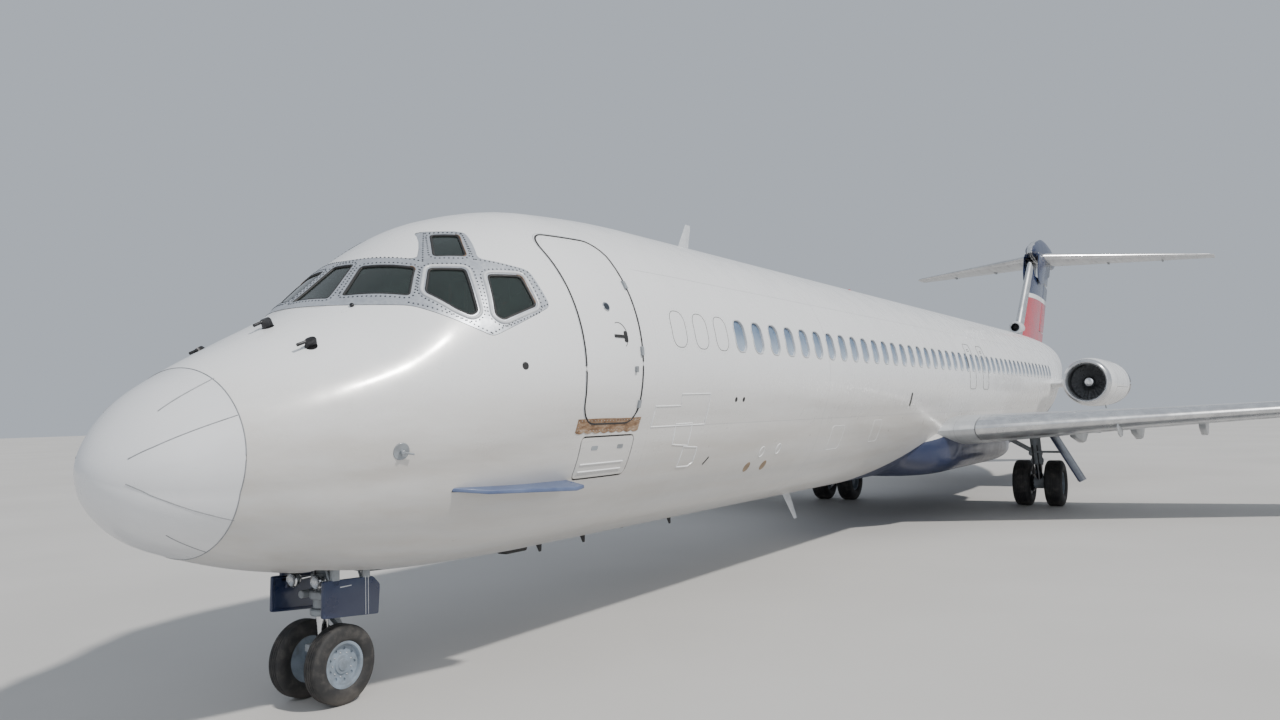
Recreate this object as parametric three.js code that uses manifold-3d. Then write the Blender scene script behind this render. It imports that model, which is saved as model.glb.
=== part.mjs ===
// Narrow-body airliner with two engines on the rear fuselage and a T tail, parked on its gear.
// Half-size model. Named sizes are the full-size aircraft's, in metres, and MM turns them into built millimetres.
// +X points to the nose, +Y to the port side and +Z up. The ground is z = 0 and x = 0 is at mid length.
// A station is a distance aft of a datum just ahead of the nose. An outline's points are [station, height] or
// [station, y].
import * as THREE from 'three';
import { mergeVertices } from 'three/addons/utils/BufferGeometryUtils.js';
import Module from 'manifold-3d';

const wasm = await Module();
wasm.setup();

// Driving dimensions
const MM = 500;
const NOSE_TIP = 0.27;
const TAIL_END = 40.72;
const MIDDLE = (NOSE_TIP + TAIL_END) / 2;
const TOUCH = 0.0008;
const CLEAR = 0.016;

// Fuselage sections. Columns: station, top, bottom, half width, height of the widest line.
const FUSELAGE = [
  [0.27, 2.04, 2.04, 0.0, 2.04],
  [0.3, 2.175, 1.87, 0.175, 2.04],
  [0.39, 2.335, 1.72, 0.345, 2.05],
  [0.65, 2.605, 1.5, 0.615, 2.09],
  [0.96, 2.79, 1.37, 0.81, 2.15],
  [1.5, 3.06, 1.21, 1.05, 2.24],
  [2.1, 3.36, 1.1, 1.25, 2.36],
  [2.7, 3.85, 1.03, 1.42, 2.48],
  [3.5, 4.28, 0.99, 1.6, 2.67],
  [4.6, 4.52, 0.97, 1.68, 2.85],
  [6.2, 4.6, 0.97, 1.685, 2.92],
  [24.5, 4.6, 0.97, 1.685, 2.92],
  [27.0, 4.6, 1.12, 1.67, 2.96],
  [29.5, 4.59, 1.5, 1.56, 3.08],
  [32.0, 4.55, 2.1, 1.28, 3.36],
  [34.0, 4.47, 2.7, 0.92, 3.64],
  [35.8, 4.33, 3.32, 0.48, 3.88],
  [36.96, 4.03, 3.97, 0.03, 4.0],
];
const FUSELAGE_STATIONS = [
  0.27, 0.28, 0.3, 0.34, 0.39, 0.5, 0.65, 0.8, 0.96, 1.2, 1.5, 1.8, 2.1, 2.4, 2.7, 3.1, 3.5, 4.0, 4.6, 6.2,
  24.5, 27, 29.5, 32, 34, 35.8, 36.96,
];
// The lower lobe, as parts of the fuselage's half width: its centre below the widest line, and its radius.
const LOBE_DROP = 0.2274;
const LOBE_RADIUS = 0.9336;
const CREASE_ANGLE = 23.27;
const LOBE_ANGLE = 10.34;

// Where the fuselage's barrels meet
const BARRELS = { seam: 0.96, forward: 5.15, centre: 15.0, aft: 23.2 };

// Cockpit window band, in side view
const GLAZING = [
  [1.95, 3.33], [2.44, 3.31], [2.94, 3.05], [3.62, 3.35], [3.58, 3.69], [3.19, 3.78],
  [3.37, 4.08], [3.12, 4.08], [2.8, 3.76], [2.6, 3.8], [1.95, 3.8],
];
const GLAZING_DEPTH = 0.05;
const COCKPIT = { front: 2.2, back: 3.75, half: 1.3, floor: 3.02, roof: 4.1, skin: 0.042 };

// Doors and hatches. Columns: first station, last station, bottom, top, corner radius.
const PASSENGER_DOOR = [3.94, 4.86, 2.28, 4.12, 0.16];
const AIRSTAIR_DOOR = [4.03, 4.9, 1.77, 2.15, 0.05];
const CARGO_FORWARD = [8.0, 9.35, 1.2, 2.12, 0.08];
const CARGO_AFT = [24.0, 24.95, 1.25, 2.12, 0.08];
const DOOR_DEPTH = 0.07;
const STAIR = { front: 29.6, back: 32.9, half: 0.42, depth: 0.2 };

// Wing rows. Columns: y, leading edge station, leading edge height, chord, thickness ratio.
const WING = [
  [0.6, 15.886, 1.805, 5.53, 0.12],
  [1.62, 16.42, 1.858, 5.12, 0.12],
  [5.0, 18.19, 2.035, 3.75, 0.11],
  [13.9, 22.85, 2.5, 1.32, 0.1],
  [14.235, 23.12, 2.53, 0.9, 0.07],
];
const WING_INCIDENCE = 0.017;
// Wing moving surfaces. Columns: inner y, outer y, hinge or front edge as a part of the chord, and for a hinged
// surface the gap round it and 1 where its ends are square to its hinge line, so that they slide past the wing.
const SLAT = [2.05, 13.55, 0.12];
const SPOILER = [5.3, 9.3, 0.65];
const FLAP_INNER = [2.0, 4.85, 0.8, 0.03, 1];
const FLAP_OUTER = [5.1, 9.55, 0.8, 0.03, 1];
const AILERON = [9.75, 13.4, 0.76, 0.026, 0];
const SPOILER_BACK = 0.765;
const SPOILER_DEPTH = 0.045;
const FLAP_DROP = 0.36;
const FLAP_HINGES = { inner: [3.4, 4.55], outer: [5.8, 8.9] };

// Fin, in side view from its root height
const FIN = { root: 4.6, station: 31.2, sweep: 1.05, aftSweep: 0.691, chord: 4.75, ratio: 0.095 };
const RUDDER = { low: 4.95, high: 6.78, hinge: 0.68, fall: 0.065, gap: 0.045 };
// Tailplane rows. Columns: y, leading edge station, height, chord, thickness ratio.
const TAILPLANE = [
  [0.0, 35.45, 7.79, 3.5, 0.1],
  [5.45, 39.34, 7.79, 1.3, 0.09],
  [5.615, 39.6, 7.79, 1.12, 0.06],
];
const ELEVATOR = [0.5, 5.3, 0.68, 0.03, 0];
const TAIL_PIVOT = { station: 37.9, height: 7.6 };
// Bullet fairing on the tailplane. Columns: station, half width, bottom, top.
const BULLET = [
  [34.2, 0.03, 7.8, 7.88], [34.6, 0.14, 7.62, 8.08], [35.3, 0.23, 7.52, 8.34], [36.3, 0.27, 7.52, 8.53],
  [37.5, 0.24, 7.52, 8.42], [38.6, 0.14, 7.6, 8.2], [39.3, 0.03, 7.82, 7.98],
];

// Engine pods, measured aft of the inlet lip
const ENGINE = { station: 26.13, y: 2.8, height: 2.907 };
// Nacelle profile. Columns: distance aft, radius. Outside from the lip aft, then the duct back to the lip.
const NACELLE = [
  [0, 0.545], [0.04, 0.59], [0.2, 0.63], [0.6, 0.67], [1.3, 0.685], [3.2, 0.685], [4.2, 0.665],
  [4.2, 0.515], [5.65, 0.47], [5.65, 0.44], [4.19, 0.45], [4.19, 0.5408], [1.03, 0.5408], [1.03, 0.515],
  [0.6, 0.5], [0.25, 0.475], [0.05, 0.505],
];
const CORE = { front: 1.035, length: 3.14, radius: 0.54 };
const FAN = { front: 0.74, depth: 0.1, radius: 0.485, hub: 0.15, blades: 14 };
const BUCKET = { front: 4.23, back: 5.5, frontRadius: 0.66, backRadius: 0.575, wall: 0.035, half: 0.03 };
const PYLON = { front: 1.4, chord: 2.7, thick: 0.24, inner: 1.2, outer: 2.35 };

// Gear. Every tyre's flat foot is on the ground.
const NOSE_GEAR = { station: 2.295, tyre: 0.33, width: 0.165, half: 0.22, bead: 0.19, axle: 0.04 };
const MAIN_GEAR = { station: 20.85, y: 2.46, tyre: 0.52, width: 0.39, half: 0.34, bead: 0.26, axle: 0.07 };
const MAIN_LEG = { station: 20.36, top: 1.78, radius: 0.115 };
const NOSE_WELL = { front: 1.95, back: 2.68, half: 0.34, top: 1.5 };
const NOSE_DOOR = [[2.03, 1.06], [2.02, 0.76], [2.62, 0.7], [2.64, 0.95], [2.56, 1.03]];
const NOSE_LEG = { radius: 0.075, foot: 0.78 };

const metals = {
  white: { color: 0xe9eaec, roughness: 0.35, metalness: 0.05 },
  bare: { color: 0xb9bcc2, roughness: 0.3, metalness: 0.9 },
  frame: { color: 0xa9aeb6, roughness: 0.5, metalness: 0.5 },
  navy: { color: 0x14213d, roughness: 0.4, metalness: 0.1 },
  grey: { color: 0x8d939b, roughness: 0.5, metalness: 0.3 },
  dark: { color: 0x35383c, roughness: 0.6, metalness: 0.5 },
  red: { color: 0xa5172b, roughness: 0.4, metalness: 0.1 },
  rubber: { color: 0x16171a, roughness: 0.9, metalness: 0.0 },
};

const airliner = new THREE.Group();

// Stations to built lengths
const X = (station) => (MIDDLE - station) * MM;
const at = (station, y, z) => new THREE.Vector3(X(station), y * MM, z * MM);

// A closed geometry as a solid, with its faces turned outwards
function solid(geometry) {
  const bare = geometry.clone();
  bare.deleteAttribute('normal');
  bare.deleteAttribute('uv');
  const merged = mergeVertices(bare, 0.001);
  const spots = merged.attributes.position;
  const corners = [];
  let volume = 0;
  for (let i = 0; i < merged.index.count; i += 3) {
    const [a, b, c] = [0, 1, 2].map((k) => merged.index.getX(i + k));
    if (a === b || b === c || c === a) continue;
    corners.push([a, b, c]);
    const [p, q, r] = [a, b, c].map((k) => new THREE.Vector3().fromBufferAttribute(spots, k));
    volume += p.dot(q.cross(r));
  }
  const outward = volume < 0 ? corners.map(([a, b, c]) => [a, c, b]) : corners;
  return new wasm.Manifold(new wasm.Mesh({
    numProp: 3,
    vertProperties: new Float32Array(spots.array),
    triVerts: new Uint32Array(outward.flat()),
  }));
}

// A named mesh from a solid
function piece(name, body, finish) {
  const mesh = body.getMesh();
  const geometry = new THREE.BufferGeometry();
  geometry.setAttribute('position', new THREE.BufferAttribute(new Float32Array(mesh.vertProperties), 3));
  geometry.setIndex(new THREE.BufferAttribute(new Uint32Array(mesh.triVerts), 1));
  geometry.computeVertexNormals();
  const named = new THREE.Mesh(geometry, new THREE.MeshStandardMaterial(metals[finish]));
  named.name = name;
  airliner.add(named);
}

// A solid through rings of equal counts of points, closed at both ends
function loft(rings) {
  const count = rings[0].length;
  const points = rings.flat();
  const triangles = [];
  for (let i = 0; i + 1 < rings.length; i += 1) {
    for (let j = 0; j < count; j += 1) {
      const a = i * count + j;
      const b = i * count + ((j + 1) % count);
      triangles.push(a, b, b + count, a, b + count, a + count);
    }
  }
  for (const first of [0, (rings.length - 1) * count]) {
    const centre = new THREE.Vector3();
    for (let j = 0; j < count; j += 1) centre.addScaledVector(points[first + j], 1 / count);
    points.push(centre);
    for (let j = 0; j < count; j += 1) {
      const pair = [first + j, first + ((j + 1) % count)];
      if (first === 0) pair.reverse();
      triangles.push(points.length - 1, ...pair);
    }
  }
  const geometry = new THREE.BufferGeometry().setFromPoints(points);
  geometry.setIndex(triangles);
  return solid(geometry);
}

function block(front, back, y0, y1, z0, z1) {
  const box = new THREE.BoxGeometry((back - front) * MM, (y1 - y0) * MM, (z1 - z0) * MM);
  const middle = at((front + back) / 2, (y0 + y1) / 2, (z0 + z1) / 2);
  return solid(box.translate(middle.x, middle.y, middle.z));
}

// An outline in side view, [station, height], carried from y0 to y1
function sidePrism(outline, y0, y1) {
  const shape = new THREE.Shape(outline.map(([s, z]) => new THREE.Vector2(X(s), z * MM)));
  const body = new THREE.ExtrudeGeometry(shape, { depth: (y1 - y0) * MM, bevelEnabled: false });
  return solid(body.rotateX(Math.PI / 2).translate(0, y1 * MM, 0));
}

// An outline in plan, [station, y], carried from z0 to z1
function planPrism(outline, z0, z1) {
  const shape = new THREE.Shape(outline.map(([s, y]) => new THREE.Vector2(X(s), y * MM)));
  const body = new THREE.ExtrudeGeometry(shape, { depth: (z1 - z0) * MM, bevelEnabled: false });
  return solid(body.translate(0, 0, z0 * MM));
}

// The same outline moved outwards by a distance, or inwards by a negative one
function grown(outline, distance) {
  const area = outline.reduce((sum, [x, y], i) => {
    const [u, v] = outline[(i + 1) % outline.length];
    return sum + x * v - u * y;
  }, 0);
  const side = Math.sign(area) * distance;
  return outline.map((point, i) => {
    const before = outline[(i + outline.length - 1) % outline.length];
    const after = outline[(i + 1) % outline.length];
    const a = new THREE.Vector2(point[0] - before[0], point[1] - before[1]).normalize();
    const b = new THREE.Vector2(after[0] - point[0], after[1] - point[1]).normalize();
    const middle = new THREE.Vector2(a.y + b.y, -a.x - b.x).normalize();
    const reach = side / Math.max(0.3, middle.x * a.y - middle.y * a.x);
    return [point[0] + middle.x * reach, point[1] + middle.y * reach];
  });
}

// A rectangle with cut corners, in side view
function hatch([front, back, low, high, corner], distance = 0) {
  const c = corner;
  const d = corner * 0.3;
  return grown([
    [front + c, low], [back - c, low], [back - d, low + d], [back, low + c], [back, high - c], [back - d, high - d],
    [back - c, high], [front + c, high], [front + d, high - d], [front, high - c], [front, low + c],
    [front + d, low + d],
  ], distance);
}

// A round bar between two points, each [station, y, height]
function bar(from, to, radius, sides = 10, endRadius = radius) {
  const start = at(...from);
  const end = at(...to);
  const way = end.clone().sub(start);
  const rod = new THREE.CylinderGeometry(endRadius * MM, radius * MM, way.length(), sides);
  rod.applyQuaternion(new THREE.Quaternion().setFromUnitVectors(new THREE.Vector3(0, 1, 0), way.clone().normalize()));
  const middle = start.add(end).multiplyScalar(0.5);
  return solid(rod.translate(middle.x, middle.y, middle.z));
}

// A profile of [along, radius] turned about a line parallel to Y (a wheel) or to X (a pod)
function turned(profile, sides, closed) {
  const points = profile.map(([along, radius]) => new THREE.Vector2(radius * MM, along * MM));
  if (closed) points.push(points[0].clone());
  const shape = new THREE.LatheGeometry(points, sides);
  return shape.rotateY(Math.PI / sides);
}
function wheelSolid(profile, sides, closed, [station, y, height]) {
  const centre = at(station, y, height);
  const round = turned(profile.map(([along, radius]) => [along, radius / Math.cos(Math.PI / sides)]), sides, closed);
  return solid(round.rotateY(Math.PI / sides + Math.PI / 2).translate(centre.x, centre.y, centre.z));
}
function podSolid(profile, sides, closed, [station, y, height]) {
  const centre = at(station, y, height);
  return solid(turned(profile, sides, closed).rotateZ(Math.PI / 2).translate(centre.x, centre.y, centre.z));
}

const mirrored = (body) => body.mirror([0, 1, 0]);
// A piece and its mirror image, each cut back from what it rests on
function bothSides(name, body, finish, keepOut) {
  const cut = (side) => (keepOut ? side.subtract(keepOut) : side);
  piece(`${name}_left`, cut(body), finish);
  piece(`${name}_right`, cut(mirrored(body)), finish);
}
const joined = (...bodies) => bodies.reduce((whole, body) => whole.add(body));

// A smooth line through a table's rows that never overshoots them
function smooth(places, values) {
  const steps = places.slice(1).map((p, i) => (values[i + 1] - values[i]) / (p - places[i]));
  const slopes = places.map((_, i) => {
    const before = steps[Math.max(0, i - 1)];
    const after = steps[Math.min(steps.length - 1, i)];
    return before * after > 0 ? (2 * before * after) / (before + after) : 0;
  });
  slopes[0] = steps[0];
  slopes[slopes.length - 1] = steps[steps.length - 1];
  return (place) => {
    let i = places.findIndex((p, k) => k > 0 && place <= p) - 1;
    if (i < 0) i = steps.length - 1;
    const width = places[i + 1] - places[i];
    const t = (place - places[i]) / width;
    return values[i] * (1 + 2 * t) * (1 - t) ** 2 + slopes[i] * width * t * (1 - t) ** 2
      + values[i + 1] * t * t * (3 - 2 * t) + slopes[i + 1] * width * t * t * (t - 1);
  };
}

// Fuselage. Distances are taken by square root, so that the nose is round.
const roots = FUSELAGE.map(([station]) => Math.sqrt(station - NOSE_TIP));
const [topLine, bottomLine, halfLine, waistLine] = [1, 2, 3, 4].map((c) => smooth(roots, FUSELAGE.map((row) => row[c])));

function sectionShape() {
  const points = [];
  const arc = (from, to, steps, drop, radius, skipLast) => {
    for (let i = 0; i < steps + (skipLast ? 0 : 1); i += 1) {
      const angle = THREE.MathUtils.degToRad(from + ((to - from) * i) / steps);
      points.push([radius * Math.cos(angle), radius * Math.sin(angle) - drop]);
    }
  };
  arc(0, 180, 16, 0, 1, true);
  arc(180, 180 + CREASE_ANGLE, 2, 0, 1, true);
  arc(180 + LOBE_ANGLE, 360 - LOBE_ANGLE, 12, LOBE_DROP, LOBE_RADIUS, true);
  arc(360 - CREASE_ANGLE, 360, 2, 0, 1, true);
  return points;
}
const SECTION = sectionShape();

function fuselageRing(station, extra) {
  const root = Math.sqrt(station - NOSE_TIP);
  const [top, bottom, half, waist] = [topLine(root), bottomLine(root), halfLine(root), waistLine(root)];
  const depth = (waist - bottom + extra) / (LOBE_DROP + LOBE_RADIUS);
  return SECTION.map(([y, z]) => at(station, y * (half + extra), waist + z * (z > 0 ? top - waist + extra : depth)));
}

function fuselageSolid(extra, first = NOSE_TIP, last = 36.96) {
  const stations = FUSELAGE_STATIONS.filter((s) => s >= first && s <= last);
  return loft(stations.map((s) => fuselageRing(s, s > NOSE_TIP ? extra : 0)));
}

const skin = fuselageSolid(0);
const skinClear = fuselageSolid(TOUCH);
const WIDE = 9;
const barrel = (front, back) => skin.intersect(block(front + TOUCH / 2, back - TOUCH / 2, -WIDE, WIDE, -1, WIDE));

// The part of the skin inside a prism, down to a depth
function skinPanel(prism, depth, first, last) {
  return skin.intersect(prism).subtract(fuselageSolid(-depth, first, last));
}
function skinRecess(prism, depth, first, last) {
  return prism.subtract(fuselageSolid(-depth, first, last));
}

// Nose: window band, cockpit hollow, passenger door, airstair door and nose gear well
const glazingPrism = sidePrism(grown(GLAZING, -TOUCH), -WIDE, WIDE);
const glazingSpace = sidePrism(GLAZING, -WIDE, WIDE);
const cockpitHollow = fuselageSolid(-COCKPIT.skin, 1.5, 4.6).intersect(
  block(COCKPIT.front, COCKPIT.back, -COCKPIT.half, COCKPIT.half, COCKPIT.floor, COCKPIT.roof),
);
const well = block(NOSE_WELL.front, NOSE_WELL.back, -NOSE_WELL.half, NOSE_WELL.half, 0.5, NOSE_WELL.top);
const DEPTH_RANGE = [1.5, 6.2];
const portSide = [0.2, 3];
const nose = barrel(BARRELS.seam, BARRELS.forward)
  .subtract(skinRecess(glazingSpace, GLAZING_DEPTH + TOUCH, 1.5, 4.6))
  .subtract(cockpitHollow)
  .subtract(skinRecess(sidePrism(hatch(PASSENGER_DOOR, TOUCH), ...portSide), DOOR_DEPTH + TOUCH, ...DEPTH_RANGE))
  .subtract(skinRecess(sidePrism(hatch(AIRSTAIR_DOOR, CLEAR), ...portSide), DOOR_DEPTH + CLEAR, ...DEPTH_RANGE))
  .subtract(well);
piece('radome', barrel(-1, BARRELS.seam), 'white');
piece('fuselage_nose', nose, 'white');
piece('cockpit_glazing', skinPanel(glazingPrism, GLAZING_DEPTH, 1.5, 4.6), 'frame');
piece('passenger_door', skinPanel(sidePrism(hatch(PASSENGER_DOOR), ...portSide), DOOR_DEPTH, ...DEPTH_RANGE), 'white');
piece('airstair_door', skinPanel(sidePrism(hatch(AIRSTAIR_DOOR), ...portSide), DOOR_DEPTH, ...DEPTH_RANGE), 'white');

// Strakes beside the nose gear
const strakeOutline = [[2.6, 1.0], [2.6, 1.22], [2.85, 1.4], [3.8, 1.61], [3.97, 1.57], [3.97, 1.0]];
const strakeBlank = planPrism(strakeOutline, 1.74, 1.775);
const strake = strakeBlank.subtract(skinClear);
piece('strake_left', strake, 'navy');
piece('strake_right', mirrored(strakeBlank).subtract(skinClear), 'navy');

// Forward barrel, with the forward cargo door on the starboard side and a jack pad below
const starboardSide = [-3, -0.2];
function cargoDoor(name, sizes, range) {
  const panel = skinPanel(sidePrism(hatch(sizes), ...starboardSide), DOOR_DEPTH, ...range);
  piece(name, panel, 'white');
  return skinRecess(sidePrism(hatch(sizes, CLEAR), ...starboardSide), DOOR_DEPTH + CLEAR, ...range);
}
const JACK_PAD = { station: 6.9, radius: 0.07, foot: 0.94 };
const nosePad = bar([JACK_PAD.station, 0, 1.2], [JACK_PAD.station, 0, JACK_PAD.foot], JACK_PAD.radius, 12);
piece('fuselage_forward', barrel(BARRELS.forward, BARRELS.centre)
  .subtract(cargoDoor('cargo_door_forward', CARGO_FORWARD, [6.2, 24.5])).add(nosePad), 'white');

// Centre barrel with the fairing under the wing roots. Fairing columns: station, half width, bottom, top.
const FAIRING = [
  [15.2, 1.0, 1.2, 1.7], [16.2, 1.5, 0.95, 1.95], [17.2, 1.62, 0.91, 2.05], [21.2, 1.62, 0.91, 1.95],
  [22.4, 1.48, 1.0, 1.7], [23.0, 1.1, 1.2, 1.5],
];
function fairingSolid(extra) {
  const corners = 20;
  return loft(FAIRING.map(([station, half, low, high]) => Array.from({ length: corners }, (_, i) => {
    const angle = (i / corners) * 2 * Math.PI;
    const flat = (v) => Math.sign(v) * Math.abs(v) ** 0.6;
    const y = (half + extra) * flat(Math.cos(angle));
    return at(station, y, (low + high) / 2 + ((high - low) / 2 + extra) * flat(Math.sin(angle)));
  })));
}
piece('fuselage_centre', barrel(BARRELS.centre, BARRELS.aft).add(fairingSolid(0)), 'white');

// Aft barrel with the aft cargo door and the stair in its floor
const stairWay = (side) => block(STAIR.front - side, STAIR.back + side, -STAIR.half - side, STAIR.half + side, 0.5, 3);
const STAIR_RANGE = [24.5, 35.8];
piece('ventral_stair', skinPanel(stairWay(0), STAIR.depth, ...STAIR_RANGE), 'white');
piece('fuselage_aft', barrel(BARRELS.aft, 36.97)
  .subtract(cargoDoor('cargo_door_aft', CARGO_AFT, [6.2, 32]))
  .subtract(skinRecess(stairWay(CLEAR), STAIR.depth + CLEAR, ...STAIR_RANGE)), 'white');

// Aerofoil half thickness as a part of the chord, at a part of the chord
function foilHalf(part, ratio) {
  const p = Math.min(1, Math.max(0, part));
  const curve = 0.2969 * Math.sqrt(p) - 0.126 * p - 0.3516 * p ** 2 + 0.2843 * p ** 3 - 0.1015 * p ** 4;
  return 5 * ratio * curve;
}

// A row at any y, between two rows of a table
function rowAt(table, y) {
  const i = Math.min(table.length - 2, Math.max(0, table.findIndex((row) => row[0] >= y) - 1));
  const t = (y - table[i][0]) / (table[i + 1][0] - table[i][0]);
  return table[i].map((value, c) => value + (table[i + 1][c] - value) * t);
}

// A point of a flat surface, at y and a part of the chord, level or down by a droop for each metre of chord
function chordPoint(table, y, part, droop) {
  const [, station, height, chord] = rowAt(table, y);
  return [station + part * chord, y, height - part * chord * droop];
}

const WHOLE_PARTS = [0, 0.012, 0.06, 0.16, 0.32, 0.52, 0.76, 1];

// A ring around a level aerofoil at y, shifted down by a drop
function foilRing(table, y, droop, drop = 0) {
  const [, station, height, chord, ratio] = rowAt(table, y);
  const point = (part, side) => {
    const half = side * chord * Math.max(foilHalf(part, ratio), part > 0.9 ? 0.001 : 0);
    return at(station + part * chord, y, height - part * chord * droop + half - drop);
  };
  const upper = WHOLE_PARTS.map((part) => point(part, 1));
  const lower = WHOLE_PARTS.slice(1).reverse().map((part) => point(part, -1));
  return [...upper, ...lower];
}

// A hinged surface's hinge line in plan: its station, height, chord and thickness at a y of one straight stretch
function hingeLine(table, [inner, outer, hinge, , square]) {
  const i = Math.min(table.length - 2, Math.max(0, table.findIndex((row) => row[0] >= (inner + outer) / 2) - 1));
  const [a, b] = [table[i], table[i + 1]];
  const row = (y) => a.map((value, c) => value + ((b[c] - value) * (y - a[0])) / (b[0] - a[0]));
  const station = (y, part) => row(y)[1] + part * row(y)[3];
  return { row, station, slope: square * (station(1, hinge) - station(0, hinge)) };
}

// A ring around a hinged surface's end: its nose is round about the hinge line
function surfaceRing(table, sizes, y, droop) {
  const hinge = sizes[2];
  const { row, station, slope } = hingeLine(table, sizes);
  const start = station(y, hinge);
  const spot = (part, half, ahead = 0) => {
    const lean = station(1, part) - station(0, part);
    const along = (station(0, part) + lean * (y + start * slope)) / (1 + lean * slope);
    const across = y - (along - start) * slope;
    const [, , height, chord, ratio] = row(across);
    const lift = half * chord * Math.max(foilHalf(part, ratio), 0.0015);
    return at(along - ahead, across + ahead * slope, height - part * chord * droop + lift);
  };
  const parts = [hinge, hinge + (1 - hinge) * 0.5, 1];
  const ring = [...parts.map((part) => spot(part, 1)), ...[...parts].reverse().map((part) => spot(part, -1))];
  const [, , , chord, ratio] = row(y);
  const radius = chord * foilHalf(hinge, ratio);
  for (const angle of [225, 180, 135]) {
    const turn = THREE.MathUtils.degToRad(angle);
    ring.push(spot(hinge, Math.sin(turn), -radius * Math.cos(turn)));
  }
  return ring;
}

// The space a hinged surface needs in the piece it is cut from, in plan
function surfaceSpace(table, sizes, low, high) {
  const [inner, outer, hinge, gap] = sizes;
  const { row, station, slope } = hingeLine(table, sizes);
  const corner = (y, side, aft) => {
    const [, , , chord, ratio] = row(y);
    const away = aft || -chord * foilHalf(hinge, ratio) - gap;
    return [station(y, hinge) + away, y + side * gap - away * slope];
  };
  return planPrism([corner(inner, -1), corner(outer, 1), corner(outer, 1, 3), corner(inner, -1, 3)], low, high);
}

function surfaceSolid(table, sizes, droop) {
  return loft([sizes[0], sizes[1]].map((y) => surfaceRing(table, sizes, y, droop)));
}

// Wing, with the slat, flaps, aileron and spoiler cut from it
const wingRows = [0.6, 1.62, 5.0, 9.5, 13.9, 14.235];
const wholeWing = loft(wingRows.map((y) => foilRing(WING, y, WING_INCIDENCE)));
const loweredWing = (drop) => loft(wingRows.map((y) => foilRing(WING, y, WING_INCIDENCE, drop)));

// The slat slides square to the leading edge, and its outer end is cut along that way
const wingSweep = Math.atan((WING[3][1] - WING[1][1]) / (WING[3][0] - WING[1][0]));
function slatSpace(gap) {
  const [inner, outer, back] = SLAT;
  const line = (y) => chordPoint(WING, y, back, 0)[0] + gap;
  const reach = 0.8;
  const end = [line(outer + gap) - reach * Math.cos(wingSweep), outer + gap + reach * Math.sin(wingSweep)];
  return planPrism([
    [line(inner - gap), inner - gap], [line(5), 5], [line(outer + gap), outer + gap], end,
    [line(inner - gap) - 2, inner - gap],
  ], 1, 4);
}
function spoilerSpace(gap, drop) {
  const [inner, outer, front] = SPOILER;
  const corners = [[inner - gap, front, -gap], [outer + gap, front, -gap], [outer + gap, SPOILER_BACK, gap],
    [inner - gap, SPOILER_BACK, gap]];
  const outline = corners.map(([y, part, away]) => [chordPoint(WING, y, part, 0)[0] + away, y]);
  return planPrism(outline, 1, 4).subtract(loweredWing(drop));
}

// A flap's hinge line, below its nose
const flapHinge = (y, hinge) => {
  const [station, , height] = chordPoint(WING, y, hinge + 0.03, WING_INCIDENCE);
  return [station, y, height - FLAP_DROP];
};
// A fixed fairing ahead of the hinge, in side view, and the moving arm behind it
const HINGE_EYE = 0.06;
function hingeFairing(y, hinge) {
  const [station, , height] = flapHinge(y, hinge);
  const [, front, edge, chord] = rowAt(WING, y);
  const top = edge - 0.35 * chord * WING_INCIDENCE;
  const back = station - HINGE_EYE - CLEAR;
  return sidePrism([
    [front + 0.42 * chord, top], [front + 0.5 * chord, height + 0.12], [back - 0.3, height - 0.08],
    [back, height - 0.07], [back, height + FLAP_DROP - 0.06], [back - 0.2, top],
  ], y - 0.07, y + 0.07);
}
function hingeArm(y, hinge) {
  const [station, , height] = flapHinge(y, hinge);
  const eye = HINGE_EYE;
  return sidePrism([
    [station - eye, height], [station - eye * 0.7, height - eye * 0.7], [station, height - eye],
    [station + 0.35, height + 0.08], [station + 0.4, height + FLAP_DROP], [station + 0.02, height + FLAP_DROP],
    [station - eye * 0.7, height + eye * 0.7],
  ], y - 0.06, y + 0.06);
}
function flapSolid(sizes, hinges) {
  return joined(surfaceSolid(WING, sizes, WING_INCIDENCE), ...hinges.map((y) => hingeArm(y, sizes[2])));
}
const fixedHinges = [
  ...FLAP_HINGES.inner.map((y) => hingeFairing(y, FLAP_INNER[2])),
  ...FLAP_HINGES.outer.map((y) => hingeFairing(y, FLAP_OUTER[2])),
];
const WING_PAD = { part: 0.45, y: 3.9, foot: 1.7, radius: 0.07 };
const padStation = chordPoint(WING, WING_PAD.y, WING_PAD.part, 0)[0];
const wingPad = bar([padStation, WING_PAD.y, 2.0], [padStation, WING_PAD.y, WING_PAD.foot], WING_PAD.radius, 12);

// A leg from the wing to the axle, with its brace, links and bearing, and a grow for the pocket that holds it
function mainLegSolid(extra) {
  const { station, y, tyre, axle } = MAIN_GEAR;
  const radius = MAIN_LEG.radius + extra;
  const knee = 0.45;
  const between = (t) => [MAIN_LEG.station + (station - MAIN_LEG.station) * t, y, MAIN_LEG.top + (tyre - MAIN_LEG.top) * t];
  const cylinder = bar([MAIN_LEG.station, y, MAIN_LEG.top + extra], between(0.62), radius, 12);
  const piston = bar(between(0.6), [station, y, tyre], 0.07 + extra, 10);
  const bearing = bar([station, y - 0.1, tyre], [station, y + 0.1, tyre], axle + 0.06, 12);
  const braceTop = [MAIN_LEG.station - 0.05, y - 0.72 - 2 * extra, MAIN_LEG.top - 0.12 + extra];
  const brace = bar(between(knee), braceTop, 0.05 + extra, 8);
  const linkOut = [station + 0.14, y, 0.95];
  const upperLink = bar([between(0.6)[0] + 0.08, y, between(0.6)[2]], linkOut, 0.035, 6);
  const lowerLink = bar(linkOut, [station + 0.02, y, tyre + 0.1], 0.035, 6);
  return joined(cylinder, piston, bearing, brace, upperLink, lowerLink);
}
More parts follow.
